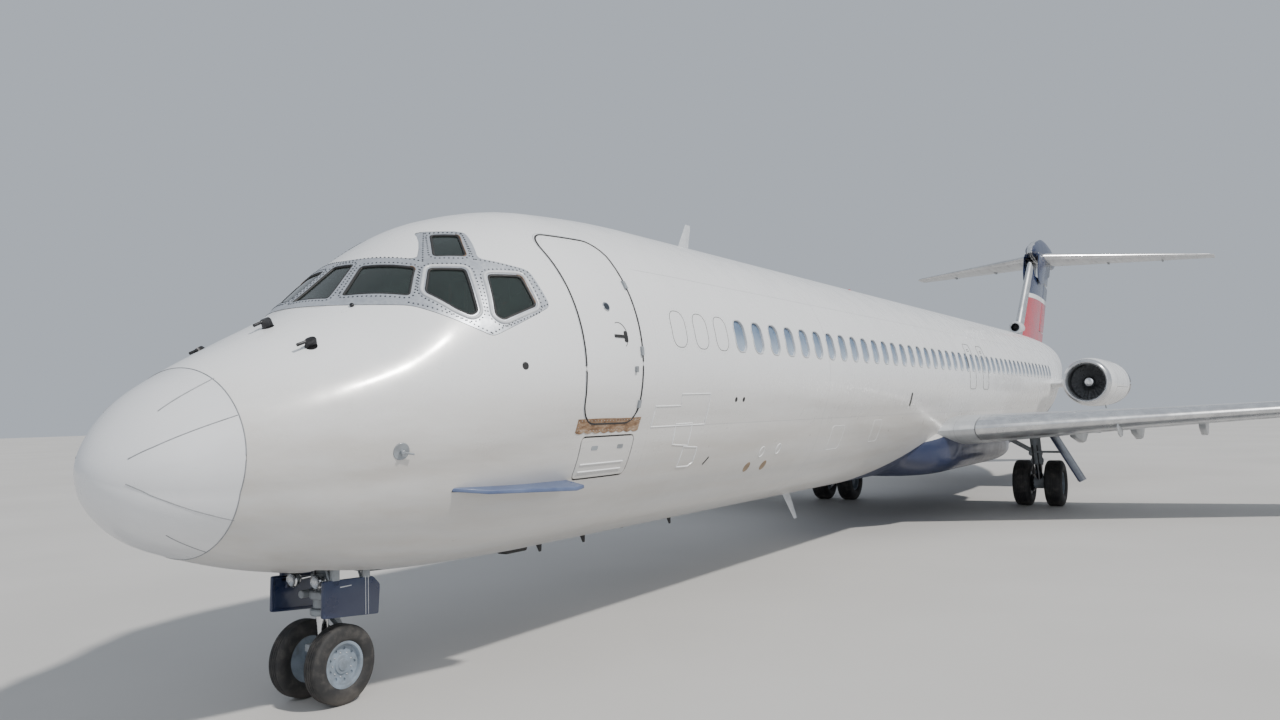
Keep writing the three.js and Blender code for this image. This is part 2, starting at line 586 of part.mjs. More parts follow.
const axleBore = (station, y, height, axle, half) => bar(
  [station, y - half, height], [station, y + half, height], axle + 0.004, 12,
);
const mainBore = axleBore(MAIN_GEAR.station, MAIN_GEAR.y, MAIN_GEAR.tyre, MAIN_GEAR.axle, 0.3);
const mainLeg = mainLegSolid(0).subtract(mainBore);

const fuselageKeepOut = joined(skinClear, fairingSolid(TOUCH));
const wing = joined(wholeWing, ...fixedHinges, wingPad)
  .subtract(slatSpace(CLEAR))
  .subtract(surfaceSpace(WING, FLAP_INNER, 1.2, 4))
  .subtract(surfaceSpace(WING, FLAP_OUTER, 1.2, 4))
  .subtract(surfaceSpace(WING, AILERON, 1, 4))
  .subtract(spoilerSpace(CLEAR, SPOILER_DEPTH + CLEAR))
  .subtract(mainLegSolid(TOUCH));

const wingPieces = {
  wing: [wing, 'bare', fuselageKeepOut],
  slat: [wholeWing.intersect(slatSpace(0)), 'bare'],
  flap_inner: [flapSolid(FLAP_INNER, FLAP_HINGES.inner), 'bare'],
  flap_outer: [flapSolid(FLAP_OUTER, FLAP_HINGES.outer), 'bare'],
  aileron: [surfaceSolid(WING, AILERON, WING_INCIDENCE), 'bare'],
  spoiler: [wholeWing.intersect(spoilerSpace(0, SPOILER_DEPTH)), 'bare'],
  main_leg: [mainLeg, 'grey'],
};
for (const [name, [body, finish, keepOut]] of Object.entries(wingPieces)) bothSides(name, body, finish, keepOut);

// Main gear doors, each a flat panel that leans outwards below the wing
const MAIN_DOOR = { top: [2.86, 1.62], bottom: [3.42, 0.62], thick: 0.035, front: 19.95, back: 20.85 };
const doorPoints = (shift) => [MAIN_DOOR.top, MAIN_DOOR.bottom].map(([y, z]) => [y + shift, z]);
const doorRing = (station) => [...doorPoints(0), ...doorPoints(MAIN_DOOR.thick).reverse()].map(([y, z]) => at(station, y, z));
const mainDoor = loft([doorRing(MAIN_DOOR.front), doorRing(MAIN_DOOR.back)])
  .add(bar([20.42, 2.5, 1.25], [20.42, 3.08, 1.25], 0.025, 8)).subtract(mainLegSolid(TOUCH));
bothSides('main_gear_door', mainDoor, 'grey');

// Tyres and wheels. Profile columns: distance along the axle, radius.
const WHEEL_SIDES = 18;
function tyreSolid({ station, tyre, width, bead }, y) {
  const w = width / 2;
  const shoulder = tyre - width * 0.16;
  const profile = [
    [-w * 0.72, bead], [-w, bead + (tyre - bead) * 0.35], [-w, bead + (tyre - bead) * 0.6], [-w * 0.72, shoulder],
    [-w * 0.45, tyre], [w * 0.45, tyre], [w * 0.72, shoulder], [w, bead + (tyre - bead) * 0.6],
    [w, bead + (tyre - bead) * 0.35], [w * 0.72, bead],
  ];
  return wheelSolid(profile, WHEEL_SIDES, true, [station, y, tyre]);
}
function wheelPair({ station, tyre, width, half, bead, axle }, y) {
  const w = width / 2;
  const rim = bead - TOUCH;
  const side = [
    [0, axle], [half - w * 0.75, axle], [half - w * 0.7, rim], [half + w * 0.7, rim], [half + w * 0.2, rim * 0.75],
    [half + w * 0.25, axle * 1.3], [half + w * 0.6, axle * 1.2], [half + w * 0.6, 0],
  ];
  const profile = [...side.slice(1).map(([along, radius]) => [-along, radius]).reverse(), ...side.slice(1)];
  return wheelSolid(profile, WHEEL_SIDES, false, [station, y, tyre]);
}
const mainWheels = wheelPair(MAIN_GEAR, MAIN_GEAR.y);
bothSides('main_wheels', mainWheels, 'grey');
for (const [place, offset] of [['inner', -MAIN_GEAR.half], ['outer', MAIN_GEAR.half]]) {
  const tyre = tyreSolid(MAIN_GEAR, MAIN_GEAR.y + offset);
  piece(`main_tyre_left_${place}`, tyre, 'rubber');
  piece(`main_tyre_right_${place}`, mirrored(tyre), 'rubber');
}

// Nose gear: a fixed cylinder with its brace, a steered fork and two wheels
const { station: noseStation, tyre: noseRadius } = NOSE_GEAR;
const noseLeg = joined(
  bar([noseStation, 0, NOSE_WELL.top - TOUCH], [noseStation, 0, NOSE_LEG.foot], NOSE_LEG.radius, 12),
  bar([noseStation, 0, 0.93], [noseStation, 0, 0.86], NOSE_LEG.radius + 0.03, 12),
  bar([noseStation, 0, 1.05], [noseStation - 0.25, 0, 1.42], 0.03, 8),
  bar([noseStation, -0.22, 1.2], [noseStation, 0.22, 1.2], 0.04, 10),
);
piece('nose_leg', noseLeg, 'grey');
const forkGap = 0.004;
const noseFork = joined(
  bar([noseStation, 0, NOSE_LEG.foot - forkGap], [noseStation, 0, noseRadius], 0.052, 14),
  bar([noseStation, 0, NOSE_LEG.foot - forkGap], [noseStation, 0, NOSE_LEG.foot - 0.06], 0.1, 14),
  bar([noseStation, -0.075, noseRadius], [noseStation, 0.075, noseRadius], NOSE_GEAR.axle + 0.045, 14),
  bar([noseStation + 0.08, 0, 0.74], [noseStation + 0.17, 0, 0.6], 0.022, 6),
  bar([noseStation + 0.17, 0, 0.6], [noseStation + 0.04, 0, 0.38], 0.022, 6),
  block(noseStation - 0.16, noseStation - 0.03, -0.03, 0.03, 0.44, 0.5),
).subtract(axleBore(noseStation, 0, noseRadius, NOSE_GEAR.axle, 0.2));
piece('nose_fork', noseFork, 'grey');
piece('nose_wheels', wheelPair(NOSE_GEAR, 0), 'grey');
for (const [name, side] of [['left', 1], ['right', -1]]) {
  piece(`nose_tyre_${name}`, tyreSolid(NOSE_GEAR, side * NOSE_GEAR.half), 'rubber');
}
// The nose gear doors hang from the edges of the well
const doorWay = NOSE_WELL.half - 0.035;
const noseDoor = sidePrism(NOSE_DOOR, doorWay, doorWay + 0.03)
  .add(block(2.12, 2.2, doorWay, doorWay + 0.03, 1.0, 1.25)).add(block(2.45, 2.53, doorWay, doorWay + 0.03, 1.0, 1.25));
bothSides('nose_gear_door', noseDoor, 'navy');

// Engine pods
const podPlace = [ENGINE.station, ENGINE.y, ENGINE.height];
const POD_SIDES = 18;
const nacelle = podSolid(NACELLE, POD_SIDES, true, podPlace);
const core = podSolid([
  [CORE.front, 0], [CORE.front, CORE.radius], [CORE.front + CORE.length, CORE.radius], [CORE.front + CORE.length, 0],
], POD_SIDES, false, podPlace);

function fanSolid() {
  const { front, depth, radius, hub, blades } = FAN;
  const centre = podSolid([
    [front - 0.2, 0], [front - 0.17, 0.05], [front - 0.08, 0.11], [front, hub], [front + depth + 0.14, hub],
    [front + depth + 0.14, 0],
  ], 12, false, podPlace);
  const vanes = Array.from({ length: blades }, (_, i) => {
    const blade = new THREE.BoxGeometry(0.13 * MM, 0.016 * MM, (radius - hub + 0.03) * MM);
    blade.rotateZ(0.9).translate(0, 0, ((radius + hub - 0.03) / 2) * MM);
    blade.rotateX((i / blades) * 2 * Math.PI);
    const middle = at(ENGINE.station + front + depth / 2, ENGINE.y, ENGINE.height);
    return solid(blade.translate(middle.x, middle.y, middle.z));
  });
  return joined(centre, ...vanes);
}

// A reverser bucket: the upper or lower half of a tapered shell round the tailpipe
function bucketSolid(up) {
  const { front, back, frontRadius, backRadius, wall, half } = BUCKET;
  const shell = podSolid([
    [front, frontRadius], [back, backRadius], [back, backRadius - wall], [front, frontRadius - wall - 0.02],
  ], POD_SIDES, true, podPlace);
  const z = ENGINE.height;
  const keep = up ? [z + half, z + 2] : [z - 2, z - half];
  return shell.intersect(block(25, 35, 1, 5, ...keep));
}

const pylonRows = [[PYLON.inner], [PYLON.outer]].map(([y]) => {
  const parts = [0, 0.03, 0.15, 0.4, 0.7, 1];
  const ratio = PYLON.thick / PYLON.chord;
  const edge = (part, side) => at(
    ENGINE.station + PYLON.front + part * PYLON.chord, y,
    ENGINE.height + side * PYLON.chord * Math.max(foilHalf(part, ratio), part > 0.9 ? 0.002 : 0),
  );
  return [...parts.map((p) => edge(p, 1)), ...parts.slice(1).reverse().map((p) => edge(p, -1))];
});
const nacelleKeepOut = podSolid([
  [0.6, 0], [0.6, 0.67 + TOUCH], [1.3, 0.685 + TOUCH], [3.2, 0.685 + TOUCH], [4.2, 0.665 + TOUCH], [4.2, 0],
], POD_SIDES, false, podPlace);
const pylon = loft(pylonRows).subtract(nacelleKeepOut);

const podPieces = {
  nacelle: [nacelle, 'white'],
  engine: [core, 'dark'],
  fan: [fanSolid(), 'dark'],
  reverser_upper: [bucketSolid(true), 'bare'],
  reverser_lower: [bucketSolid(false), 'bare'],
  pylon: [pylon, 'white', skinClear],
};
for (const [name, [body, finish, keepOut]] of Object.entries(podPieces)) bothSides(name, body, finish, keepOut);

// Fin. Rows run up it, and its thickness lies along Y.
const finEdge = (z) => FIN.station + (z - FIN.root) * FIN.sweep;
const finBack = (z) => FIN.station + FIN.chord + (z - FIN.root) * FIN.aftSweep;
function finRing(z) {
  const front = finEdge(z);
  const chord = finBack(z) - front;
  const spot = (part, side) => {
    const half = side * chord * Math.max(foilHalf(part, FIN.ratio), part > 0.9 ? 0.002 : 0);
    return at(front + part * chord, half, z);
  };
  return [...WHOLE_PARTS.map((p) => spot(p, 1)), ...WHOLE_PARTS.slice(1).reverse().map((p) => spot(p, -1))];
}
function rudderRing(z, fall = 0) {
  const front = finEdge(z);
  const chord = finBack(z) - front;
  const hinge = front + RUDDER.hinge * chord;
  const radius = chord * foilHalf(RUDDER.hinge, FIN.ratio);
  const ring = [[hinge, radius], [(hinge + front + chord) / 2, radius * 0.55], [front + chord, 0.01]];
  ring.push([front + chord, -0.01], [(hinge + front + chord) / 2, -radius * 0.55], [hinge, -radius]);
  for (const angle of [225, 180, 135]) {
    const turn = THREE.MathUtils.degToRad(angle);
    ring.push([hinge + radius * Math.cos(turn), radius * Math.sin(turn)]);
  }
  return ring.map(([s, y]) => at(s, y, z - fall * Math.max(0, s - hinge)));
}
function rudderSpace() {
  const edge = (z) => {
    const chord = finBack(z) - finEdge(z);
    return finEdge(z) + chord * (RUDDER.hinge - foilHalf(RUDDER.hinge, FIN.ratio)) - CLEAR;
  };
  const [low, high] = [RUDDER.low - RUDDER.gap, RUDDER.high + RUDDER.gap];
  return sidePrism([[edge(low), low], [edge(high), high], [42, high], [42, low]], -1, 1);
}
// The fin's top slopes down forwards, so that the tailplane's front can sink as it trims
const finTop = [[33.0, 9], [33.0, 6.35], [38.2, 7.42], [42, 7.42], [42, 9]];
piece('fin', loft([4.3, 7.7].map(finRing)).subtract(rudderSpace()).subtract(sidePrism(finTop, -1, 1))
  .subtract(skinClear), 'red');
piece('rudder', loft([rudderRing(RUDDER.low), rudderRing(RUDDER.high, RUDDER.fall)]), 'navy');

// Tailplane in one piece with its bullet fairing and the cheeks that cover the fin's sloping top
const tailRows = TAILPLANE.map(([y]) => y);
const halfTail = loft(tailRows.map((y) => foilRing(TAILPLANE, y, 0)))
  .subtract(surfaceSpace(TAILPLANE, ELEVATOR, 7, 9));
const bullet = loft(BULLET.map(([station, half, low, high]) => Array.from({ length: 14 }, (_, i) => {
  const angle = (i / 14) * 2 * Math.PI;
  return at(station, half * Math.cos(angle), (low + high) / 2 + ((high - low) / 2) * Math.sin(angle));
})));
const cheekOutline = [[34.95, 7.68], [34.72, 6.62], [36.55, 7.085], [36.95, 7.68]];
const cheek = sidePrism(cheekOutline, 0.235, 0.262);
const cheekShelf = block(35.0, 36.9, -0.262, 0.262, 7.64, 7.8);
piece('tailplane', joined(halfTail, mirrored(halfTail), bullet, cheek, mirrored(cheek), cheekShelf), 'bare');
bothSides('elevator', surfaceSolid(TAILPLANE, ELEVATOR, 0), 'bare');

export default airliner;
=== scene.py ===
# Narrow-body airliner at half size, parked on its gear.
# Named sizes are the full-size aircraft's, in metres, and HALF turns them into built metres.
# A station is a distance aft of a datum just ahead of the nose. +X points to the nose, +Y to port and +Z up.
import random
from math import atan, ceil, cos, pi, radians, sin, sqrt

import bmesh
import bpy
from mathutils import Matrix, Vector
from mathutils.bvhtree import BVHTree


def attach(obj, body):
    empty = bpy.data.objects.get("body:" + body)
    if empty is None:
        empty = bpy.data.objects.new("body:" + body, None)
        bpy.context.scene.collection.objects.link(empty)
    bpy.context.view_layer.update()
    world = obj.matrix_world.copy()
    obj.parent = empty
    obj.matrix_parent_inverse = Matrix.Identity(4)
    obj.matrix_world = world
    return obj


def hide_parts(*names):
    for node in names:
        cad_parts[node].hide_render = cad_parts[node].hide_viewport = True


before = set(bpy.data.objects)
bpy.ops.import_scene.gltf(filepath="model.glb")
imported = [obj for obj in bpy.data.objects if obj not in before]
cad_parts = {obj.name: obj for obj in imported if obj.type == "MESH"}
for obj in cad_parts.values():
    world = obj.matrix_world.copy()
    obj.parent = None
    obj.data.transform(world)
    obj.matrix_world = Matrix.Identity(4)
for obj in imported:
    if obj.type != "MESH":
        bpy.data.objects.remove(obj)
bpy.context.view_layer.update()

# Driving sizes
NOSE_TIP = 0.27
TAIL_END = 40.72
MIDDLE = (NOSE_TIP + TAIL_END) / 2
HALF = 0.5
TOUCH = 0.0008
CLEAR = 0.016
SIDES = (("left", 1), ("right", -1))

# Fuselage sections: station, top, bottom, half width, height of the widest line
FUSELAGE = [
    (0.27, 2.04, 2.04, 0.0, 2.04),
    (0.3, 2.175, 1.87, 0.175, 2.04),
    (0.39, 2.335, 1.72, 0.345, 2.05),
    (0.65, 2.605, 1.5, 0.615, 2.09),
    (0.96, 2.79, 1.37, 0.81, 2.15),
    (1.5, 3.06, 1.21, 1.05, 2.24),
    (2.1, 3.36, 1.1, 1.25, 2.36),
    (2.7, 3.85, 1.03, 1.42, 2.48),
    (3.5, 4.28, 0.99, 1.6, 2.67),
    (4.6, 4.52, 0.97, 1.68, 2.85),
    (6.2, 4.6, 0.97, 1.685, 2.92),
    (24.5, 4.6, 0.97, 1.685, 2.92),
    (27.0, 4.6, 1.12, 1.67, 2.96),
    (29.5, 4.59, 1.5, 1.56, 3.08),
    (32.0, 4.55, 2.1, 1.28, 3.36),
    (34.0, 4.47, 2.7, 0.92, 3.64),
    (35.8, 4.33, 3.32, 0.48, 3.88),
    (36.96, 4.03, 3.97, 0.03, 4.0),
]
LOBE_DROP = 0.2274
LOBE_RADIUS = 0.9336
CREASE_ANGLE = 23.27
LOBE_ANGLE = 10.34
BARRELS = {"seam": 0.96, "forward": 5.15, "centre": 15.0, "aft": 23.2, "end": 36.96}

# Doors and hatches: first station, last station, bottom, top, corner radius
PASSENGER_DOOR = (3.94, 4.86, 2.28, 4.12, 0.2)
AIRSTAIR_DOOR = (4.03, 4.9, 1.77, 2.15, 0.05)
SERVICE_DOOR = (5.5, 6.2, 2.28, 3.7, 0.14)
CARGO_FORWARD = (8.0, 9.35, 1.2, 2.12, 0.08)
CARGO_AFT = (24.0, 24.95, 1.25, 2.12, 0.08)
DOOR_DEPTH = 0.07
STAIR = {"front": 29.6, "back": 32.9, "half": 0.42, "depth": 0.2}

# Cockpit window band in side view, and the cockpit behind it
GLAZING = [
    (1.95, 3.33), (2.44, 3.31), (2.94, 3.05), (3.62, 3.35), (3.58, 3.69), (3.19, 3.78),
    (3.37, 4.08), (3.12, 4.08), (2.8, 3.76), (2.6, 3.8), (1.95, 3.8),
]
GLAZING_DEPTH = 0.05
COCKPIT = {"front": 2.2, "back": 3.75, "half": 1.3, "floor": 3.02, "roof": 4.1, "skin": 0.042}

# Window panes on the port side: corners as station, y, height
PANES = {
    "front": [(2.22, 0.34, 3.41), (2.49, 0.88, 3.39), (2.72, 0.72, 3.68), (2.54, 0.23, 3.71)],
    "sliding": [(2.59, 0.94, 3.43), (2.78, 0.8, 3.67), (3.03, 1.01, 3.67), (2.9, 1.27, 3.26),
                (2.82, 1.26, 3.22), (2.73, 1.18, 3.27)],
    "aft_side": [(3.15, 1.14, 3.62), (3.47, 1.27, 3.63), (3.47, 1.45, 3.34), (3.08, 1.39, 3.19),
                 (3.02, 1.34, 3.23)],
    "eyebrow": [(3.13, 0.48, 4.04), (3.3, 0.69, 4.04), (3.13, 0.94, 3.79), (2.9, 0.74, 3.79)],
}
CENTRE_PANE = [(2.17, -0.24, 3.39), (2.17, 0.24, 3.39), (2.57, 0.13, 3.73), (2.57, -0.13, 3.73)]

# Cabin windows
WINDOWS = {"first": 7.106, "pitch": 0.4865, "count": 43, "height": 3.25, "width": 0.28, "tall": 0.37}
EXITS = (18.2, 19.35)


def at(station, y, height):
    return Vector(((MIDDLE - station) * HALF, y * HALF, height * HALF))


def smooth_line(places, values):
    """A smooth line through a table's rows that never overshoots them."""
    steps = [(values[i + 1] - values[i]) / (places[i + 1] - places[i]) for i in range(len(places) - 1)]
    slopes = [steps[0]]
    for before, after in zip(steps, steps[1:]):
        slopes.append(2 * before * after / (before + after) if before * after > 0 else 0.0)
    slopes.append(steps[-1])

    def value(place):
        i = 0
        while i < len(steps) - 1 and place > places[i + 1]:
            i += 1
        width = places[i + 1] - places[i]
        t = (place - places[i]) / width
        return (values[i] * (1 + 2 * t) * (1 - t) ** 2 + slopes[i] * width * t * (1 - t) ** 2
                + values[i + 1] * t * t * (3 - 2 * t) + slopes[i + 1] * width * t * t * (t - 1))

    return value


def table_lines(table, places):
    """A smooth line for each column of a table after its first."""
    return [smooth_line(places, [row[c] for row in table]) for c in range(1, len(table[0]))]


SECTION_LINES = table_lines(FUSELAGE, [sqrt(row[0] - NOSE_TIP) for row in FUSELAGE])


def section_sizes(station):
    """The skin's top, bottom, half width and its widest line's height at a station."""
    root = sqrt(station - NOSE_TIP)
    return [line(root) for line in SECTION_LINES]


def section_shape(upper=48, crease=6, lobe=36):
    points = []

    def arc(first, last, steps, drop, radius):
        for i in range(steps):
            angle = radians(first + (last - first) * i / steps)
            points.append((radius * cos(angle), radius * sin(angle) - drop))

    arc(0, 180, upper, 0, 1)
    arc(180, 180 + CREASE_ANGLE, crease, 0, 1)
    arc(180 + LOBE_ANGLE, 360 - LOBE_ANGLE, lobe, LOBE_DROP, LOBE_RADIUS)
    arc(360 - CREASE_ANGLE, 360, crease, 0, 1)
    return points


SECTION = section_shape()


def fuselage_ring(station, extra=0.0):
    top, bottom, half, waist = section_sizes(station)
    rise = top - waist + extra
    depth = (waist - bottom + extra) / (LOBE_DROP + LOBE_RADIUS)
    return [at(station, y * (half + extra), waist + z * (rise if z > 0 else depth)) for y, z in SECTION]


def skin_point(station, height, side, extra=0.0):
    """The skin's point at a station and a height, on one side."""
    top, bottom, half, waist = section_sizes(station)
    if height >= waist:
        part = min(1.0, (height - waist) / (top - waist + extra))
        across = sqrt(1 - part * part)
    else:
        part = (height - waist) / ((waist - bottom + extra) / (LOBE_DROP + LOBE_RADIUS))
        if part > -sin(radians(CREASE_ANGLE)):
            across = sqrt(1 - part * part)
        else:
            across = sqrt(max(0.0, LOBE_RADIUS ** 2 - (part + LOBE_DROP) ** 2))
    return at(station, side * across * (half + extra), height)


# Meshes and objects
def new_object(name, mesh):
    thing = bpy.data.objects.new(name, mesh)
    bpy.context.scene.collection.objects.link(thing)
    return thing


def from_bmesh(name, bm, sharp=35):
    mesh = bpy.data.meshes.new(name)
    bm.to_mesh(mesh)
    bm.free()
    return finished(new_object(name, mesh), sharp)


def finished(thing, sharp=35):
    """Shaded smooth, with edges sharper than an angle left crisp."""
    mesh = thing.data
    mesh.polygons.foreach_set("use_smooth", [True] * len(mesh.polygons))
    mesh.set_sharp_from_angle(angle=radians(sharp))
    mesh.update()
    return thing


def loft(name, rings, sharp=35, caps=True):
    """A closed body through rings of equal counts of points."""
    bm = bmesh.new()
    rows = [[bm.verts.new(p) for p in ring] for ring in rings]
    count = len(rings[0])
    for a, b in zip(rows, rows[1:]):
        for j in range(count):
            k = (j + 1) % count
            bm.faces.new((a[j], a[k], b[k], b[j]))
    if caps:
        for row in (rows[0], rows[-1]):
            if max((v.co - row[0].co).length for v in row) > 1e-6:
                bm.faces.new(row)
    bmesh.ops.remove_doubles(bm, verts=bm.verts, dist=1e-6)
    bmesh.ops.recalc_face_normals(bm, faces=bm.faces)
    return from_bmesh(name, bm, sharp)


def baked(thing):
    """The object with its modifiers made part of its mesh."""
    depsgraph = bpy.context.evaluated_depsgraph_get()
    mesh = bpy.data.meshes.new_from_object(thing.evaluated_get(depsgraph))
    thing.modifiers.clear()
    old = thing.data
    thing.data = mesh
    bpy.data.meshes.remove(old)
    return thing


def removed(*things):
    for thing in things:
        mesh = thing.data
        bpy.data.objects.remove(thing)
        if mesh and mesh.users == 0:
            bpy.data.meshes.remove(mesh)


def cut(thing, *cutters, operation="DIFFERENCE"):
    """Each cutter taken from the object, or joined or intersected with it."""
    for cutter in cutters:
        step = thing.modifiers.new("cut", "BOOLEAN")
        step.operation = operation
        step.solver = "EXACT"
        step.object = cutter
        baked(thing)
    removed(*cutters)
    return finished(thing)


def copy_of(thing, name):
    return new_object(name, thing.data.copy())


def mirrored(thing, name):
    """The same shape on the other side, with its faces turned outwards."""
    twin = copy_of(thing, name)
    twin.data.transform(Matrix.Scale(-1, 4, (0, 1, 0)))
    twin.data.flip_normals()
    return twin


def joined(name, things):
    """Several objects as one, with their materials kept."""
    bm = bmesh.new()
    slots = []
    for thing in things:
        start = len(bm.faces)
        bm.from_mesh(thing.data)
        bm.faces.ensure_lookup_table()
        places = []
        for material in (thing.data.materials or [None]):
            if material not in slots:
                slots.append(material)
            places.append(slots.index(material))
        for face in bm.faces[start:]:
            face.material_index = places[min(face.material_index, len(places) - 1)]
    removed(*things)
    whole = from_bmesh(name, bm)
    for material in slots:
        if material:
            whole.data.materials.append(material)
    return whole


def coloured(thing, *keys):
    """The object in the finishes of these keys, in their order."""
    thing.data.materials.clear()
    for key in keys:
        thing.data.materials.append(STUFF[key])
    return thing


def all_coloured(things, key):
    return [coloured(thing, key) for thing in things]


def block(name, front, back, y0, y1, z0, z1, bevel=0.0, segments=3):
    """A box between two stations, with its edges rounded."""
    bm = bmesh.new()
    bmesh.ops.create_cube(bm, size=1)
    size = Vector((back - front, y1 - y0, z1 - z0)) * HALF
    middle = at((front + back) / 2, (y0 + y1) / 2, (z0 + z1) / 2)
    bmesh.ops.transform(bm, matrix=Matrix.Translation(middle) @ Matrix.Diagonal((*size, 1)), verts=bm.verts)
    if bevel:
        bmesh.ops.bevel(bm, geom=bm.edges[:], offset=bevel * HALF, segments=segments, affect="EDGES",
                        profile=0.5)
    return from_bmesh(name, bm, 50)


def prism(name, outline, low, high, place):
    """An outline of two numbers a point carried from low to high; place turns all three into a point."""
    bm = bmesh.new()
    ends = [[bm.verts.new(place(u, v, w)) for u, v in outline] for w in (low, high)]
    count = len(outline)
    for j in range(count):
        k = (j + 1) % count
        bm.faces.new((ends[0][j], ends[0][k], ends[1][k], ends[1][j]))
    bm.faces.new(ends[0])
    bm.faces.new(ends[1])
    bmesh.ops.recalc_face_normals(bm, faces=bm.faces)
    return from_bmesh(name, bm)


def side_prism(name, outline, y0, y1):
    return prism(name, outline, y0, y1, lambda s, z, y: at(s, y, z))


def plan_prism(name, outline, z0, z1):
    return prism(name, outline, z0, z1, lambda s, y, z: at(s, y, z))


def rounded(outline, radius, steps=6):
    """An outline with each corner turned into an arc."""
    points = []
    count = len(outline)
    for i in range(count):
        here = Vector(outline[i])
        before = (Vector(outline[i - 1]) - here)
        after = (Vector(outline[(i + 1) % count]) - here)
        reach = min(radius, 0.45 * before.length, 0.45 * after.length)
        start = here + before.normalized() * reach
        end = here + after.normalized() * reach
        for k in range(steps + 1):
            t = k / steps
            points.append(tuple(start * (1 - t) ** 2 + here * (2 * t * (1 - t)) + end * t * t))
    return points


def grown(outline, distance):
    """An outline moved outwards by a distance."""
    count = len(outline)
    area = sum(outline[i - 1][0] * outline[i][1] - outline[i][0] * outline[i - 1][1] for i in range(count))
    side = distance if area > 0 else -distance
    moved = []
    for i in range(count):
        here = Vector(outline[i])
        a = (here - Vector(outline[i - 1])).normalized()
        b = (Vector(outline[(i + 1) % count]) - here).normalized()
        middle = Vector((a.y + b.y, -a.x - b.x)).normalized()
        reach = side / max(0.3, middle.x * a.y - middle.y * a.x)
        moved.append(tuple(here + middle * reach))
    return moved


def hatch(sizes, distance=0.0, steps=6):
    """A rectangle with quarter-circle corners in side view, moved outwards by a distance."""
    front, back, low, high, corner = sizes
    radius = corner + distance
    points = []
    for cx, cz, first in ((back - corner, low + corner, -90), (back - corner, high - corner, 0),
                          (front + corner, high - corner, 90), (front + corner, low + corner, 180)):
        for k in range(steps + 1):
            angle = radians(first + 90 * k / steps)
            points.append((cx + radius * cos(angle), cz + radius * sin(angle)))
    return points


def turns(count):
    """Even angles once round a circle."""
    return [2 * pi * k / count for k in range(count)]


def turned_ring(middle, turn, radius, along, sides):
    """A ring of points round a turned axis, its sizes in built metres."""
    return [middle + turn @ Vector((cos(a) * radius, sin(a) * radius, along)) for a in turns(sides)]


def rod(name, start, end, radius, sides=24, end_radius=None, bevel=0.0):
    """A round bar between two points, each station, y and height."""
    a, b = at(*start), at(*end)
    way = b - a
    turn = way.to_track_quat("Z", "Y").to_matrix()
    last = radius if end_radius is None else end_radius
    length = way.length / HALF
    lift = min(bevel, length / 3)
    profile = [(0.0, radius - bevel), (lift, radius), (length - lift, last), (length, last - bevel)]
    if not bevel:
        profile = [(0.0, radius), (length, last)]
    return loft(name, [turned_ring(a, turn, r * HALF, along * HALF, sides) for along, r in profile], 40)


def lathe(name, profile, centre, axis, sides=48, closed=False, sharp=35):
    """A profile of along, radius turned about a line through centre, parallel to X (aft) or Y."""
    middle = at(*centre)
    bm = bmesh.new()
    rows = []
    for angle in turns(sides):
        row = []
        for along, radius in profile:
            u, v = radius * cos(angle) * HALF, radius * sin(angle) * HALF
            way = Vector((-along * HALF, u, v)) if axis == "X" else Vector((u, along * HALF, v))
            row.append(bm.verts.new(middle + way))
        rows.append(row)
    count = len(profile)
    for k in range(sides):
        a, b = rows[k], rows[(k + 1) % sides]
        for j in range(count if closed else count - 1):
            m = (j + 1) % count
            bm.faces.new((a[j], a[m], b[m], b[j]))
    bmesh.ops.remove_doubles(bm, verts=bm.verts, dist=1e-6)
    bmesh.ops.dissolve_degenerate(bm, edges=bm.edges, dist=1e-7)
    bmesh.ops.recalc_face_normals(bm, faces=bm.faces)
    return from_bmesh(name, bm, sharp)


def sweep(name, path, radius, sides=10, closed=False):
    """A round tube along points, each station, y and height."""
    points = [at(*p) for p in path]
    return tube(name, points, radius * HALF, sides, closed)


def tube(name, points, radius, sides=10, closed=False):
    """A round tube along built points, its radius in built metres."""
    rings = []
    count = len(points)
    for i, p in enumerate(points):
        before = points[i - 1] if i > 0 or closed else p
        after = points[(i + 1) % count] if i + 1 < count or closed else p
        turn = (after - before).to_track_quat("Z", "Y").to_matrix()
        rings.append(turned_ring(p, turn, radius, 0, sides))
    if closed:
        rings.append(rings[0])
    return loft(name, rings, 60, caps=not closed)


# Materials
COAT_ROUGHNESS = 0.12


